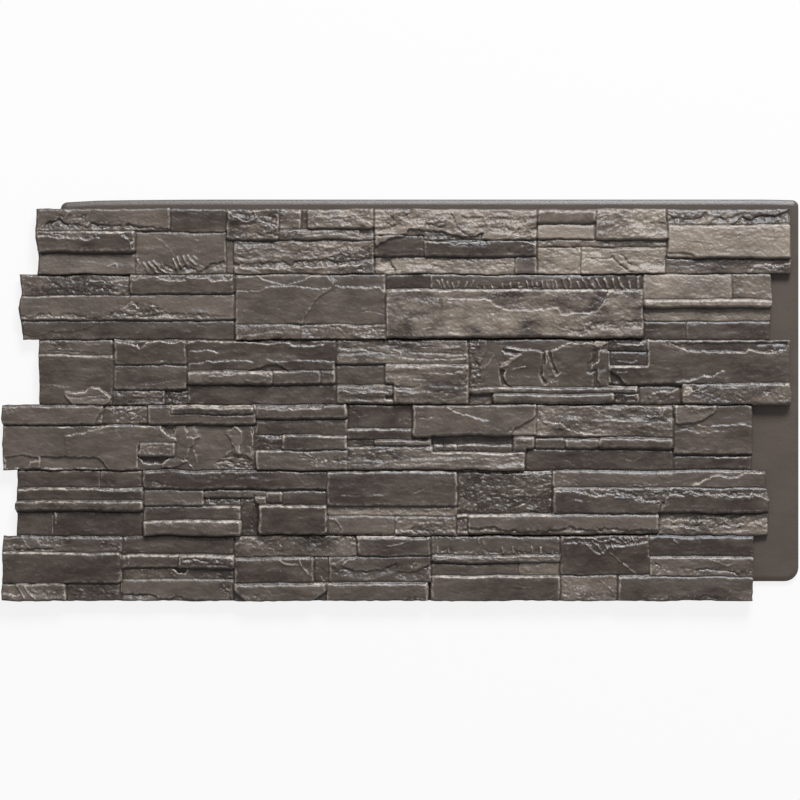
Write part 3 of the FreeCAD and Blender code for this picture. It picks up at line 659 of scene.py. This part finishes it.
# What all broken faces share: a strength, then the length and width of its noise, mm
breaks = {
    "bendAcross": (4.0, 21, 11),             # how far the breaks stray along the stone
    "bendDown": (2.5, 17, 9),                # and across it
    "fold": (2.0, 19, 7),                    # crests, as a multiple of the look's own
    "foldTop": 0.6,                          # where a crest levels off
    "shift": (8, 3),                         # where the facets and the crests start
    "small": (0.35, 2.3, 2.1),               # small facets, and how much finer than the large
    "coarse": (1.0, 3.4, 2.8),               # two sizes of grain
    "fine": (0.5, 1.7, 1.7),
    "chipLeast": 0.4,                        # width of a chipped band, as a share of the stated
    "chip": (0.9, 14, 30),                   # and what a noise adds to that
    "chipSlope": 0.6,                        # how fast it deepens towards the edge
    "wear": (0.7, 9, 9),                     # how unevenly the rims are worn
}


def breakNoise(key, across, down, seed):
    # Noise over the length and width of that break, times its strength
    strength, long, wide = breaks[key]
    return strength * latticeNoise(across / long, down / wide, seed)


def brokenFace(look, across, down, seed):
    # Slow swell, less crests where a noise changes sign, plus large and small facets and grain
    bentAcross = across + breakNoise("bendAcross", across, down, seed + 40)
    bentDown = down + breakNoise("bendDown", across, down, seed + 41)
    face = look["swell"] * fractalNoise(bentAcross / look["long"], bentDown / look["wide"], seed)
    facetShift, crestShift = breaks["shift"]
    u, v = bentAcross / look["cellLong"] + facetShift, bentDown / look["cellWide"] + facetShift
    face = face + look["facet"] * facets(u, v, seed + 50)
    small, finerU, finerV = breaks["small"]
    face = face + small * look["facet"] * facets(finerU * u, finerV * v, seed + 55)
    crest, long, wide = breaks["fold"]
    fold = np.abs(fractalNoise(bentAcross / long + crestShift, bentDown / wide, seed + 60))
    face = face - look["crest"] * crest * np.clip(fold, 0, breaks["foldTop"])
    coarse = breakNoise("coarse", across, down, seed + 58)
    return face + look["grain"] * (coarse + breakNoise("fine", across, down, seed + 59))


def chippedBand(distance, width, across, seed):
    # Loss along an edge: the width follows a noise, and the depth grows towards the edge
    spread, long, wide = breaks["chip"]
    ragged = breaks["chipLeast"] + spread * fractalNoise(across / long, distance / wide, seed)
    return breaks["chipSlope"] * np.clip(width * ragged - distance, 0, None)


def cellAt(grid, x, y):
    # Column and row of a place in the lay-out, with fractions
    return (x - grid["left"]) / grid["acrossPitch"], (y - grid["top"]) / grid["downPitch"]


def layStone(stone, number, grid, layers, seed):
    # Height = stated rise, less the lean, plus the broken face, less the chips and the rims; a
    # bar falls by the fourth power of the way from its middle line; corners are arcs in plan
    xFrom, xTo, yFrom, yTo, rise, lean, lookName, paleness, chipUpper, chipLower = stone
    look, pitch = looks[lookName], relief["pitch"]
    firstColumn, firstRow = (max(round(cell), 0) for cell in cellAt(grid, xFrom, yFrom))
    lastColumn, lastRow = (min(round(cell), count - 1) for cell, count in
                           zip(cellAt(grid, xTo, yTo), (grid["columns"], grid["rows"])))
    patch = slice(firstRow + 1, lastRow), slice(firstColumn + 1, lastColumn)
    layers["owner"][firstRow:lastRow + 1, firstColumn:lastColumn + 1] = -1
    across, down = grid["across"][patch], grid["down"][patch]
    fromUpper, fromLower = down - down.min() + pitch, down.max() - down + pitch
    fromLeft, fromRight = across - across.min() + pitch, across.max() - across + pitch
    share = fromLower / (fromLower + fromUpper)
    face = rise - lean * share + brokenFace(look, across, down, seed)
    if lookName == "bar":
        face = face - relief["crown"] * (yTo - yFrom) * (2 * share - 1) ** 4
    face = face - chippedBand(fromUpper, chipUpper, across, seed + 60)
    face = face - chippedBand(fromLower, chipLower, across, seed + 70)
    sideways, upright = np.minimum(fromLeft, fromRight), np.minimum(fromUpper, fromLower)
    radius = min(look["round"], relief["cornerShare"] * min(yTo - yFrom, xTo - xFrom))
    corner = np.hypot(np.clip(radius - sideways, 0, None), np.clip(radius - upright, 0, None))
    nearest = np.minimum(sideways, upright)
    nearest = np.where(corner > 0, np.minimum(radius - corner, nearest), nearest)
    uneven, long, wide = breaks["wear"]
    wear = 1 + uneven * fractalNoise(across / long, down / wide, seed + 80, 2)
    rims = sum(fall * np.exp(-(distance - pitch) / reach) for distance, (fall, reach) in
               ((nearest, relief["rim"]), (fromUpper, relief["upperRim"])))
    face = face - look["rims"] * wear * rims
    for key, value in (("height", face), ("pale", paleness), ("owner", number)):
        layers[key][patch] = np.where(nearest > 0, value, layers[key][patch])
    layers["mottle"][patch] = look["mottle"]


def placesOf(line):
    # The x,y pairs of a line as numbers
    return [tuple(float(v) for v in pair.split(",")) for pair in line.split()]


def alongLine(points, across, down):
    # Distance to the line, plus on the right hand when walking along it, and the way past its ends
    nearest = np.full(across.shape, np.inf)
    signed, past = nearest, np.zeros(across.shape)
    last = len(points) - 2
    for number, ((xFrom, yFrom), (xTo, yTo)) in enumerate(zip(points[:-1], points[1:])):
        runAcross, runDown = xTo - xFrom, yTo - yFrom
        length = math.hypot(runAcross, runDown)
        share = ((across - xFrom) * runAcross + (down - yFrom) * runDown) / length ** 2
        held = np.clip(share, 0, 1)
        gap = np.hypot(across - xFrom - held * runAcross, down - yFrom - held * runDown)
        side = runAcross * (down - yFrom) - runDown * (across - xFrom)
        before = -share * length if number == 0 else 0.0
        after = (share - 1) * length if number == last else 0.0
        closer = gap < nearest
        past = np.where(closer, np.clip(np.maximum(before, after), 0, None), past)
        signed = np.where(closer, np.sign(side) * gap, signed)
        nearest = np.where(closer, gap, nearest)
    return signed, past


def stonesUnder(points, grid, owner, least=0.2, samples=8):
    # The stones that carry at least a fifth of the line, from samples along it
    places = np.linspace(0, len(points) - 1, samples * len(points))
    x, y = (np.interp(places, np.arange(len(points)), values) for values in np.array(points).T)
    columns, rows = (np.round(cells).astype(int) for cells in cellAt(grid, x, y))
    found = owner[np.clip(rows, 0, grid["rows"] - 1), np.clip(columns, 0, grid["columns"] - 1)]
    found = found[found >= 0]
    return [number for number in np.unique(found) if np.mean(found == number) >= least]


# How marks are cut. Ragged is how far their lines stray, and long and wide are the lengths of a
# noise or facet, all in mm.
marks = {
    "bend": 8.0,                             # length of the noise by which the lines stray
    "step": {"ragged": 2.4, "long": 7, "wide": 4, "fade": 0.7, "end": 7.0,
             "rise": (0.12, 1.1), "fall": (0.5, 2.4)},        # crumbling, and width of the edge
    "crack": {"ragged": 1.6, "reach": 6.0, "long": 7, "wide": 7, "uneven": 0.5, "bell": 0.55,
              "end": 2.0},
    "chip": {"ragged": 3.0, "reach": 3.0, "soft": 1.3, "large": (10, 6, 1.0), "small": (4, 3, 0.45),
             "shift": 8, "loss": 0.3, "mottle": 0.4},
    "sheet": {"ragged": 1.8, "reach": 3.0, "soft": 1.4, "start": 0.4},
    "tick": {"lean": 1.5, "width": (1.5, 0.35), "depth": (1.3, 0.4)},   # least, and added in turn
}


def markedPatch(points, reach, ragged, grid, layers, seed):
    # Part of the grid round a line, with its places bent by a noise; which of them may change,
    # how far they are from the line, and how far past its ends
    xs, ys = zip(*points)
    firstColumn, firstRow = cellAt(grid, min(xs) - reach, min(ys) - reach)
    lastColumn, lastRow = cellAt(grid, max(xs) + reach, max(ys) + reach)
    patch = (slice(max(int(firstRow), 0), min(int(lastRow) + 1, grid["rows"])),
             slice(max(int(firstColumn), 0), min(int(lastColumn) + 1, grid["columns"])))
    across, down = grid["across"][patch], grid["down"][patch]
    u, v = across / marks["bend"], down / marks["bend"]
    across = across + ragged * fractalNoise(u, v, seed)
    down = down + ragged * fractalNoise(u, v, seed + 4)
    mine = np.isin(layers["owner"][patch], stonesUnder(points, grid, layers["owner"]))
    return (patch, across, down, mine, *alongLine(points, across, down))


def cutStep(points, rise, reach, grid, layers, seed):
    # The right hand side of the line rises by a step that fades out over its reach; a fall is
    # softer and more crumbly than a rise
    mark = marks["step"]
    patch, across, down, mine, signed, past = markedPatch(
        points, reach, mark["ragged"], grid, layers, seed)
    crumbling, soft = mark["fall" if rise < 0 else "rise"]
    crumbs = 1 + crumbling * fractalNoise(across / mark["long"], down / mark["wide"], seed + 8)
    fade = np.clip(1 - signed / reach, 0, 1) ** mark["fade"]
    lift = rise * crumbs * easeStep(signed / soft + 0.5) * fade * easeStep(1 - past / mark["end"])
    layers["height"][patch] += np.where(mine, lift, 0.0)


def cutCrack(points, width, depth, grid, layers, seed):
    # A groove along the line, shaped as a bell; a negative depth makes a ridge
    mark = marks["crack"]
    patch, across, down, mine, signed, past = markedPatch(
        points, mark["reach"], mark["ragged"], grid, layers, seed)
    uneven = latticeNoise(across / mark["long"], down / mark["wide"], seed + 2)
    bell = np.exp(-(signed / (mark["bell"] * width)) ** 2)
    ends = easeStep(1.5 - past / mark["end"])
    groove = (1 + mark["uneven"] * uneven) * depth * bell * ends
    layers["height"][patch] -= np.where(mine, groove, 0.0)


def crumbleBand(points, width, strength, grid, layers, seed):
    # Broken facets of two sizes within the width of a line, less a little everywhere
    mark = marks["chip"]
    patch, across, down, mine, signed = markedPatch(
        points, width + mark["reach"], mark["ragged"], grid, layers, seed)[:5]
    cover = easeStep(mark["soft"] - np.abs(signed) / width) * strength
    broken = sum(share * facets(across / long + mark["shift"], down / wide + mark["shift"],
                                seed + 8 + number)
                 for number, (long, wide, share) in enumerate((mark["large"], mark["small"])))
    layers["height"][patch] += np.where(mine, cover * (broken - mark["loss"]), 0.0)
    layers["mottle"][patch] += np.where(mine, mark["mottle"] * np.clip(cover, 0, 1), 0.0)


def laySheet(points, rise, slope, paleness, grid, layers, seed):
    # Inside the outline the face rises; the sheet thins out by its slope in mm per mm inwards.
    # A walk to the right from a place inside crosses the outline an odd number of times.
    mark, ring = marks["sheet"], points + points[:1]
    patch, across, down, mine, signed = markedPatch(
        ring, mark["reach"], mark["ragged"], grid, layers, seed)[:5]
    turns = np.zeros(across.shape)
    for (xFrom, yFrom), (xTo, yTo) in zip(ring[:-1], ring[1:]):
        crosses = (yFrom > down) != (yTo > down)
        span = yTo - yFrom if yTo != yFrom else 1e-9
        turns += crosses & (across < xFrom + (down - yFrom) * (xTo - xFrom) / span)
    depth = np.where(turns % 2 == 1, 1, -1) * np.abs(signed)
    cover = np.where(mine, easeStep(depth / mark["soft"] + mark["start"]), 0.0)
    layers["height"][patch] += cover * (rise - slope * np.clip(depth, 0, None))
    # added paleness: mostly painted light on raised sheets and painted shade in sunken ones
    layers["pale"][patch] += cover * paleness


def fillJoints(grid, layers):
    # A joint lies a groove deeper than the lowest stone beside it; wider gaps fall to the bed
    height, gaps = layers["height"], layers["owner"] < 0
    rows, columns = height.shape
    reach = round(relief["jointReach"] / relief["pitch"])
    padded = np.pad(np.where(gaps, np.inf, height), reach, constant_values=np.inf)
    steps = range(2 * reach + 1)
    lowest = np.min([padded[i:i + rows, j:j + columns] for i in steps for j in steps], axis=0)
    uneven, long, wide = relief["grooveNoise"]
    uneven = uneven * latticeNoise(grid["across"] / long, grid["down"] / wide, 5)
    joint = lowest - relief["groove"] * (1 + uneven)
    joint = np.where(np.isfinite(lowest), joint, relief["floor"])
    height[gaps] = np.maximum(joint, relief["floor"] - relief["jointDrop"])[gaps]
    layers["pale"][gaps] = relief["jointPale"]


def wornEdges(height):
    # No place stands more than a little above the mean round it, so proud edges are rounded off
    limit = blurred(height, relief["wear"] / relief["pitch"]) + relief["spare"]
    return np.where(height > limit, limit + relief["kept"] * (height - limit), height)


def openEdges(index, grid, height):
    # Along the outline a course has no joint: its outermost vertices take the height next to
    # them, less a drop
    across = grid["across"][0]
    for row, inner, other in ((0, 1, index - 1), (-1, -2, index + 1)):
        outside = np.ones(across.shape, bool)
        if 0 <= other < len(courses):
            outside = across < min(x for y, x in courses[other]["left"])
            outside |= across > max(x for y, x in courses[other]["right"])
        height[row, outside] = height[inner, outside] - relief["openDrop"]
    height[:, 0] = height[:, 1] - relief["openDrop"]
    height[:, -1] = height[:, -2] - relief["openDrop"]


def bentPlace(across, down):
    # Bend of the lay-out in the plane: a slow and a quick noise for each direction
    slowX, quickX, slowY, quickY = (
        latticeNoise(across / long, down / wide, relief["seed"] + 1 + number)
        for number, (long, wide) in enumerate(relief["bends"]))
    return (across + (relief["wander"] * slowX + relief["shiver"] * quickX),
            down + (relief["wander"] * slowY + relief["shiver"] * quickY))


def courseGrid(index, course):
    # Even grid over the longest row of the course, in mm of the lay-out
    top, deep = relief["firstCourse"] + index * relief["courseHeight"], relief["courseHeight"]
    left = min(x for y, x in course["left"])
    right = max(x for y, x in course["right"])
    rows = round(deep / relief["pitch"]) + 1
    columns = round((right - left) / relief["pitch"]) + 1
    across, down = np.meshgrid(np.linspace(left, right, columns),
                               np.linspace(top, top + deep, rows))
    return {
        "top": top, "left": left, "right": right, "rows": rows, "columns": columns,
        "acrossPitch": (right - left) / (columns - 1), "downPitch": deep / (rows - 1),
        "across": across, "down": down,
    }


def fittedEnds(course, grid, across, down):
    # Near both ends the places slide so that the outline follows the stated ends
    for side, sign in (("left", 1), ("right", -1)):
        share = 1 - easeStep(sign * (grid["across"] - grid[side]) / relief["endReach"])
        across = across + share * (np.interp(down, *zip(*course[side])) - grid[side])
    return across


def addObject(name, data):
    # The object that puts a mesh, lamp or camera in the scene
    added = bpy.data.objects.new(name, data)
    bpy.context.collection.objects.link(added)
    return added


def panelPiece(name, places, faces, attributes):
    # One smooth piece of the moulding, with values at each vertex for the paint to read
    mesh = bpy.data.meshes.new(name)
    mesh.from_pydata(places.tolist(), [], faces)
    for key, values in attributes.items():
        layer = mesh.attributes.new(key, "FLOAT", "POINT")
        layer.data.foreach_set("value", np.asarray(values, np.float32))
    mesh.polygons.foreach_set("use_smooth", np.ones(len(mesh.polygons), bool))
    mesh.materials.append(panelPaint)
    mesh.update()
    piece = addObject(name, mesh)
    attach(piece, "root")
    print(name, "faces", len(mesh.polygons))
    return piece


def closedRelief(name, across, down, height, attributes):
    # Top grid, one wall all round down to the underside, and one face below
    order = np.arange(height.size).reshape(height.shape)
    rim = np.concatenate([order[0, :-1], order[:-1, -1], order[-1, :0:-1], order[:0:-1, 0]])
    x = (across - relief["middle"]) / 1000
    y = cadHigh[1] - (down - relief["topEdge"]) / 1000
    top = np.stack([x, y, height / 1000], axis=-1).reshape(-1, 3)
    under = top[rim]
    under[:, 2] = relief["underside"] / 1000
    quads = np.stack([order[:-1, :-1], order[1:, :-1], order[1:, 1:], order[:-1, 1:]], axis=-1)
    lower = np.arange(len(rim)) + height.size
    wall = np.stack([rim, np.roll(rim, -1), np.roll(lower, -1), lower], axis=-1)
    faces = [*quads.reshape(-1, 4).tolist(), *wall.tolist(), lower.tolist()]
    values = {key: np.append(value, value.reshape(-1)[rim]) for key, value in attributes.items()}
    return panelPiece(name, np.concatenate([top, under]), faces, values)


# What the paint reads from the relief: distances and heights in mm, and shares
brushing = {
    "edgeRadius": 1.7, "edgeFull": 0.75, "edgeSpare": 0.13,
    # the slope settings dim the brushed edges that face away from the lamp: a painted highlight on
    # upper edges
    "slopeRadius": 1.0, "slopeFull": 0.5, "highlightSideShare": 0.38,
    "hollowRadius": 4.5, "hollowFull": 2.8,
    "paleRadius": 1.2, "palePower": 1.5,
}


def paintValues(grid, height, layers):
    # Edge: how far a place stands above the mean round it, for the pale brushing of raised edges,
    # and more so where it faces up the picture, towards the lamp, which makes a painted highlight.
    # Hollow: how far it lies below the mean of a wider round, for painted shade in the hollows and
    # below proud edges, over the dark coat that the brushing leaves there. Pale: the stated value,
    # softened.
    def around(field, key):
        return blurred(field, brushing[key] / relief["pitch"])

    edge = (height - around(height, "edgeRadius")) / brushing["edgeFull"] - brushing["edgeSpare"]
    uphill = around(np.gradient(height, grid["downPitch"], axis=0), "slopeRadius")
    # edges facing down the picture, away from the lamp, are dimmed, so upper edges carry a painted
    # highlight
    paintedHighlightSide = brushing["highlightSideShare"] * (np.clip(uphill / brushing["slopeFull"], -1, 1) - 1)
    # painted shade: darker where a place lies below its surroundings, in hollows and below proud
    # edges
    hollow_shade = (around(height, "hollowRadius") - height) / brushing["hollowFull"]
    pale = around(np.clip(layers["pale"], 0, 1) ** brushing["palePower"], "paleRadius")
    return {"edge": np.clip(edge, 0, 1) * (1 + paintedHighlightSide), "hollow_shade": np.clip(hollow_shade, 0, 1),
            "pale": pale, "mottle": layers["mottle"]}


def buildCourse(index, course):
    # The stones are laid, then cut by each kind of mark with seeds of its own; the joints are
    # filled, proud edges worn, and the whole is bent a little and fitted to the stepped ends
    grid = courseGrid(index, course)
    shape = grid["across"].shape
    layers = {
        "height": np.full(shape, relief["floor"]), "pale": np.full(shape, relief["jointPale"]),
        "mottle": np.zeros(shape), "owner": np.full(shape, -1),
    }
    seed = relief["seed"] + 1000 * (index + 1)
    for number, stone in enumerate(course["stones"]):
        layStone(stone, number, grid, layers, seed + 97 * number)
    (width, wider), (depth, deeper) = marks["tick"]["width"], marks["tick"]["depth"]
    ridges = [(f"{x},{yFrom} {x + marks['tick']['lean']},{yTo}",
               width + wider * (count % 4), -depth - deeper * (count % 3))
              for count, (x, yFrom, yTo) in enumerate(course["ticks"])]
    for cut, firstSeed, rows in (
            (laySheet, 9000, course["sheets"]), (cutStep, 12000, course["steps"]),
            (crumbleBand, 18000, course["chips"]), (cutCrack, 15000, course["cracks"] + ridges)):
        for number, (line, *values) in enumerate(rows):
            cut(placesOf(line), *values, grid, layers, seed + firstSeed + 3 * number)
    fillJoints(grid, layers)
    openEdges(index, grid, layers["height"])
    height = np.clip(wornEdges(layers["height"]), relief["floor"] - relief["deepest"],
                     relief["ceiling"])
    across, down = bentPlace(grid["across"], grid["down"])
    across = fittedEnds(course, grid, across, down)
    return closedRelief(course["name"], across, down, height, paintValues(grid, height, layers))


flange = {
    "left": 91.0, "right": 1245.0, "top": 3.0, "bottom": 600.0,   # mm in the lay-out
    "thickness": 9.5, "slopeWide": 9.0, "slopeHigh": 3.4, "slopePower": 1.6,
    "topRadius": 10.0, "bottomRadius": 22.0,
    "droop": [(91, 5.0), (130, 2.0), (200, 0.8), (300, 0.0), (1200, 0.0), (1245, 1.2)],   # x, fall
    "droopReach": 40.0,                      # how far below the upper side it still acts
    "slopeRings": 8, "cornerPoints": 9, "upperPoints": 24,
    "pale": 0.22, "mottle": 0.1,
}


def roundedOutline(inset):
    # Rectangle with arcs at its corners, walked counterclockwise seen from above, in metres;
    # the upper side droops by the stated amounts
    middle, origin = relief["middle"], cadHigh[1] * 1000 + relief["topEdge"]
    left, right = flange["left"] - middle + inset, flange["right"] - middle - inset
    upperY, lowerY = origin - flange["top"] - inset, origin - flange["bottom"] + inset
    upper, lower = flange["topRadius"] - inset, flange["bottomRadius"] - inset
    points = []
    for x, y, radius, start, sideX, sideY in (
            (right, lowerY, lower, -90, -1, 1), (right, upperY, upper, 0, -1, -1),
            (left, upperY, upper, 90, 1, -1), (left, lowerY, lower, 180, 1, 1)):
        angles = np.radians(start + np.linspace(0, 90, flange["cornerPoints"]))
        centre = np.array([x + sideX * radius, y + sideY * radius])
        points.append(centre + radius * np.stack([np.cos(angles), np.sin(angles)], axis=-1))
    between = np.linspace(points[1][-1, 0], points[2][0, 0], flange["upperPoints"] + 2)[1:-1]
    points.insert(2, np.column_stack([between, np.full(len(between), upperY)]))
    outline = np.concatenate(points)
    droop = np.interp(outline[:, 0] + middle, *zip(*flange["droop"]))
    outline[:, 1] -= droop * (outline[:, 1] > upperY - flange["droopReach"])
    return outline / 1000


def buildFlange():
    # A ring at the bottom, then rings over the edge: the fall from the top grows as a power of the
    # way out from the end of the slope; one face below and one on top
    levels = [(0.0, 0.0)]
    for share in np.linspace(0, 1, flange["slopeRings"]):
        fall = flange["slopeHigh"] * (1 - share) ** flange["slopePower"]
        levels.append((flange["slopeWide"] * share, flange["thickness"] - fall))
    outlines = [(roundedOutline(inset), z / 1000) for inset, z in levels]
    places = np.concatenate([np.column_stack([o, np.full(len(o), z)]) for o, z in outlines])
    order = np.arange(len(places)).reshape(len(levels), -1)
    after = np.roll(order, -1, axis=1)
    quads = np.stack([order[:-1], after[:-1], after[1:], order[1:]], axis=-1)
    faces = [*quads.reshape(-1, 4).tolist(), order[0, ::-1].tolist(), order[-1].tolist()]
    still = np.zeros(len(places))
    piece = panelPiece("flange_plate", places, faces, {
        "edge": still, "hollow_shade": still, "pale": still + flange["pale"],
        "mottle": still + flange["mottle"]})
    for face in piece.data.polygons[-2:]:
        face.use_smooth = False


paint = {
    "dark": (0.044, 0.0295, 0.022, 1.0),
    "mid": (0.298, 0.245, 0.197, 1.0),
    # pale brush paint on raised edges, also the colour of the painted highlight on edges facing the
    # lamp
    "paleBrushAndHighlight": (0.56, 0.50, 0.435, 1.0),
    # painted shade for the hollows and below proud edges, partly the dark coat left there
    "shadow": (0.026, 0.017, 0.011, 1.0),
    "roughness": 0.38,
    "sheen": (0.84, 0.91, 1.0, 1.0),         # tint of the gloss
    "gloss": 0.64,
    "stretch": (0.6, 1.0, 1.0),              # the patches are longer along the panel
    # Scale, detail and roughness of a noise, and the range it is read in and read as
    "blotches": ((60, 8, 0.72), (0.36, 0.64, -0.20, 0.20)),
    "drift": ((24, 2, 0.5), (0.38, 0.62, -0.18, 0.18)),
    "flecks": ((110, 5, 0.6), (0.38, 0.62, 0.1, 1.196)),    # strength of the pale edges
    "grain": (380, 5, 0.6),
    "grainByPale": (0.1, 0.6, 0.5, 1.0),
    # how the hollow value is read as painted shade
    "hollowShadeRange": (0.0, 1.0, 0.0, 0.43),
    "bump": 0.6, "bumpHeight": 0.0012,       # m
}


def feed(tree, node, feeds):
    # Each socket takes a plain value, or a link from another node's output
    for socket, value in feeds.items():
        if isinstance(value, bpy.types.NodeSocket):
            tree.links.new(value, node.inputs[socket])
        else:
            node.inputs[socket].default_value = value
    return node.outputs


def addNode(tree, kind, feeds=(), **settings):
    # A shader node of a kind, set and fed
    node = tree.nodes.new("ShaderNode" + kind)
    for key, value in settings.items():
        setattr(node, key, value)
    return feed(tree, node, dict(feeds))


def combined(tree, operation, first, second, clamp=False):
    # Sum or product of two values
    made = addNode(tree, "Math", {0: first, 1: second}, operation=operation, use_clamp=clamp)
    return made["Value"]


def mixed(tree, first, second, factor):
    # The first colour at 0, the second at 1
    feeds = {"A": first, "B": second, "Factor": factor}
    return addNode(tree, "Mix", feeds, data_type="RGBA")["Result"]


def noiseOf(tree, place, scale, detail, roughness):
    # Soft noise from 0 to 1
    feeds = {"Vector": place, "Scale": scale, "Detail": detail, "Roughness": roughness}
    return addNode(tree, "TexNoise", feeds)["Fac"]


def rangeOf(tree, value, *limits):
    # A value between the first two limits, read as one between the last two
    sockets = zip(("From Min", "From Max", "To Min", "To Max"), limits)
    return addNode(tree, "MapRange", {"Value": value, **dict(sockets)})["Result"]


def paintedFoam():
    # Dark coat, paler on the rough stones, brushed pale on raised edges with a painted highlight on
    # those that face the lamp, and painted shade in the hollows and below proud edges
    material = bpy.data.materials.new("painted_foam")
    material.use_nodes = True
    tree = material.node_tree
    place = addNode(tree, "TexCoord")["Object"]
    feeds = {0: place, 1: paint["stretch"]}
    stretched = addNode(tree, "VectorMath", feeds, operation="MULTIPLY")["Vector"]
    pale, edge, hollow_shade, mottle = (addNode(tree, "Attribute", attribute_name=name)["Fac"]
                                  for name in ("pale", "edge", "hollow_shade", "mottle"))
    blotches, drift, flecks = (
        rangeOf(tree, noiseOf(tree, at, *paint[key][0]), *paint[key][1])
        for key, at in (("blotches", stretched), ("drift", stretched), ("flecks", place)))
    patches = combined(tree, "MULTIPLY", combined(tree, "ADD", blotches, drift), mottle)
    coat = combined(tree, "ADD", pale, patches, clamp=True)
    colour = mixed(tree, paint["dark"], paint["mid"], coat)
    # pale brushing on raised edges, stronger on those facing the lamp as a painted highlight
    colour = mixed(tree, colour, paint["paleBrushAndHighlight"], combined(tree, "MULTIPLY", edge, flecks))
    # painted shade in the hollows and below proud edges, partly the dark coat that the brushing
    # leaves there
    colour = mixed(tree, colour, paint["shadow"], rangeOf(tree, hollow_shade, *paint["hollowShadeRange"]))
    grain = combined(tree, "MULTIPLY", noiseOf(tree, place, *paint["grain"]),
                     rangeOf(tree, pale, *paint["grainByPale"]))
    feeds = {"Strength": paint["bump"], "Distance": paint["bumpHeight"], "Height": grain}
    feed(tree, tree.nodes["Principled BSDF"], {
        "Base Color": colour, "Roughness": paint["roughness"], "Specular Tint": paint["sheen"],
        "Specular IOR Level": paint["gloss"], "Normal": addNode(tree, "Bump", feeds)["Normal"]})
    return material


panelPaint = paintedFoam()
buildFlange()
panelCourses = [buildCourse(index, course) for index, course in enumerate(courses)]
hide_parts("stone_panel")
print("relief built")

stage = {
    "floorColour": (0.86, 0.86, 0.86, 1.0),
    "floorReach": 6.0,
    "floorGlow": 0.85,                       # share of plain white the camera sees in the floor
    "viewWidth": 1.2490,                     # width of the picture at the stones, m
    "viewLevel": 0.02,                       # height of the stones, m
    "lens": 200.0, "sensor": 36.0,
    "centre": (-0.0008, 0.0),                # what the camera looks at
    "windowPlace": (1.35, 5.2, 4.3), "windowSize": (2.8, 2.3), "windowPower": 495.0,
    "worldStrength": 0.30, "worldSeen": 0.93,
}


def makeFloor():
    # A square in plain light that keeps shadows, and glows by a share for rays from the camera
    # and for mirrored and passed ones, but not for those that carry light
    reach = stage["floorReach"]
    mesh = bpy.data.meshes.new("floor")
    mesh.from_pydata([(-reach, -reach, 0), (reach, -reach, 0), (reach, reach, 0),
                      (-reach, reach, 0)], [], [(0, 1, 2, 3)])
    material = bpy.data.materials.new("floor_white")
    material.use_nodes = True
    mesh.materials.append(material)
    tree = material.node_tree
    path = addNode(tree, "LightPath")
    seen = path["Is Camera Ray"]
    for ray in ("Is Glossy Ray", "Is Transmission Ray"):
        seen = combined(tree, "ADD", seen, path[ray], clamp=True)
    plain = feed(tree, tree.nodes["Principled BSDF"], {
        "Base Color": stage["floorColour"], "Roughness": 1.0, "Specular IOR Level": 0.0})
    share = combined(tree, "MULTIPLY", seen, stage["floorGlow"])
    feeds = {"Fac": share, 1: plain["BSDF"], 2: addNode(tree, "Emission")["Emission"]}
    surface = addNode(tree, "MixShader", feeds)["Shader"]
    feed(tree, tree.nodes["Material Output"], {"Surface": surface})
    addObject("floor", mesh)


def makeWindow():
    # One large soft lamp, turned and tipped so that it shines on the middle of the panel
    x, y, z = stage["windowPlace"]
    data = bpy.data.lights.new("window", "AREA")
    data.shape = "RECTANGLE"
    data.size, data.size_y = stage["windowSize"]
    data.energy = stage["windowPower"]
    lamp = addObject("window", data)
    lamp.location = (x, y, z)
    lamp.rotation_euler = (math.atan2(math.hypot(x, y), z), 0.0,
                           math.atan2(-y, -x) - math.pi / 2)


def makeCamera():
    # Straight above, at the distance at which the view is as wide as stated
    data = bpy.data.cameras.new("camera")
    data.lens = stage["lens"]
    data.sensor_width = stage["sensor"]
    data.clip_end = 50.0
    camera = addObject("camera", data)
    distance = stage["viewWidth"] * stage["lens"] / stage["sensor"]
    camera.location = (*stage["centre"], stage["viewLevel"] + distance)
    bpy.context.scene.camera = camera


def makeWorld():
    # Even white light from all sides, near white where the camera sees it
    world = bpy.data.worlds.new("studio")
    bpy.context.scene.world = world
    world.use_nodes = True
    tree = world.node_tree
    seen = addNode(tree, "LightPath")["Is Camera Ray"]
    strength = rangeOf(tree, seen, 0.0, 1.0, stage["worldStrength"], stage["worldSeen"])
    feeds = {"Color": (1.0, 1.0, 1.0, 1.0), "Strength": strength}
    feed(tree, tree.nodes["Background"], feeds)


makeFloor()
makeCamera()
makeWindow()
makeWorld()
bpy.context.scene.view_settings.view_transform = "Standard"
print("stage set")
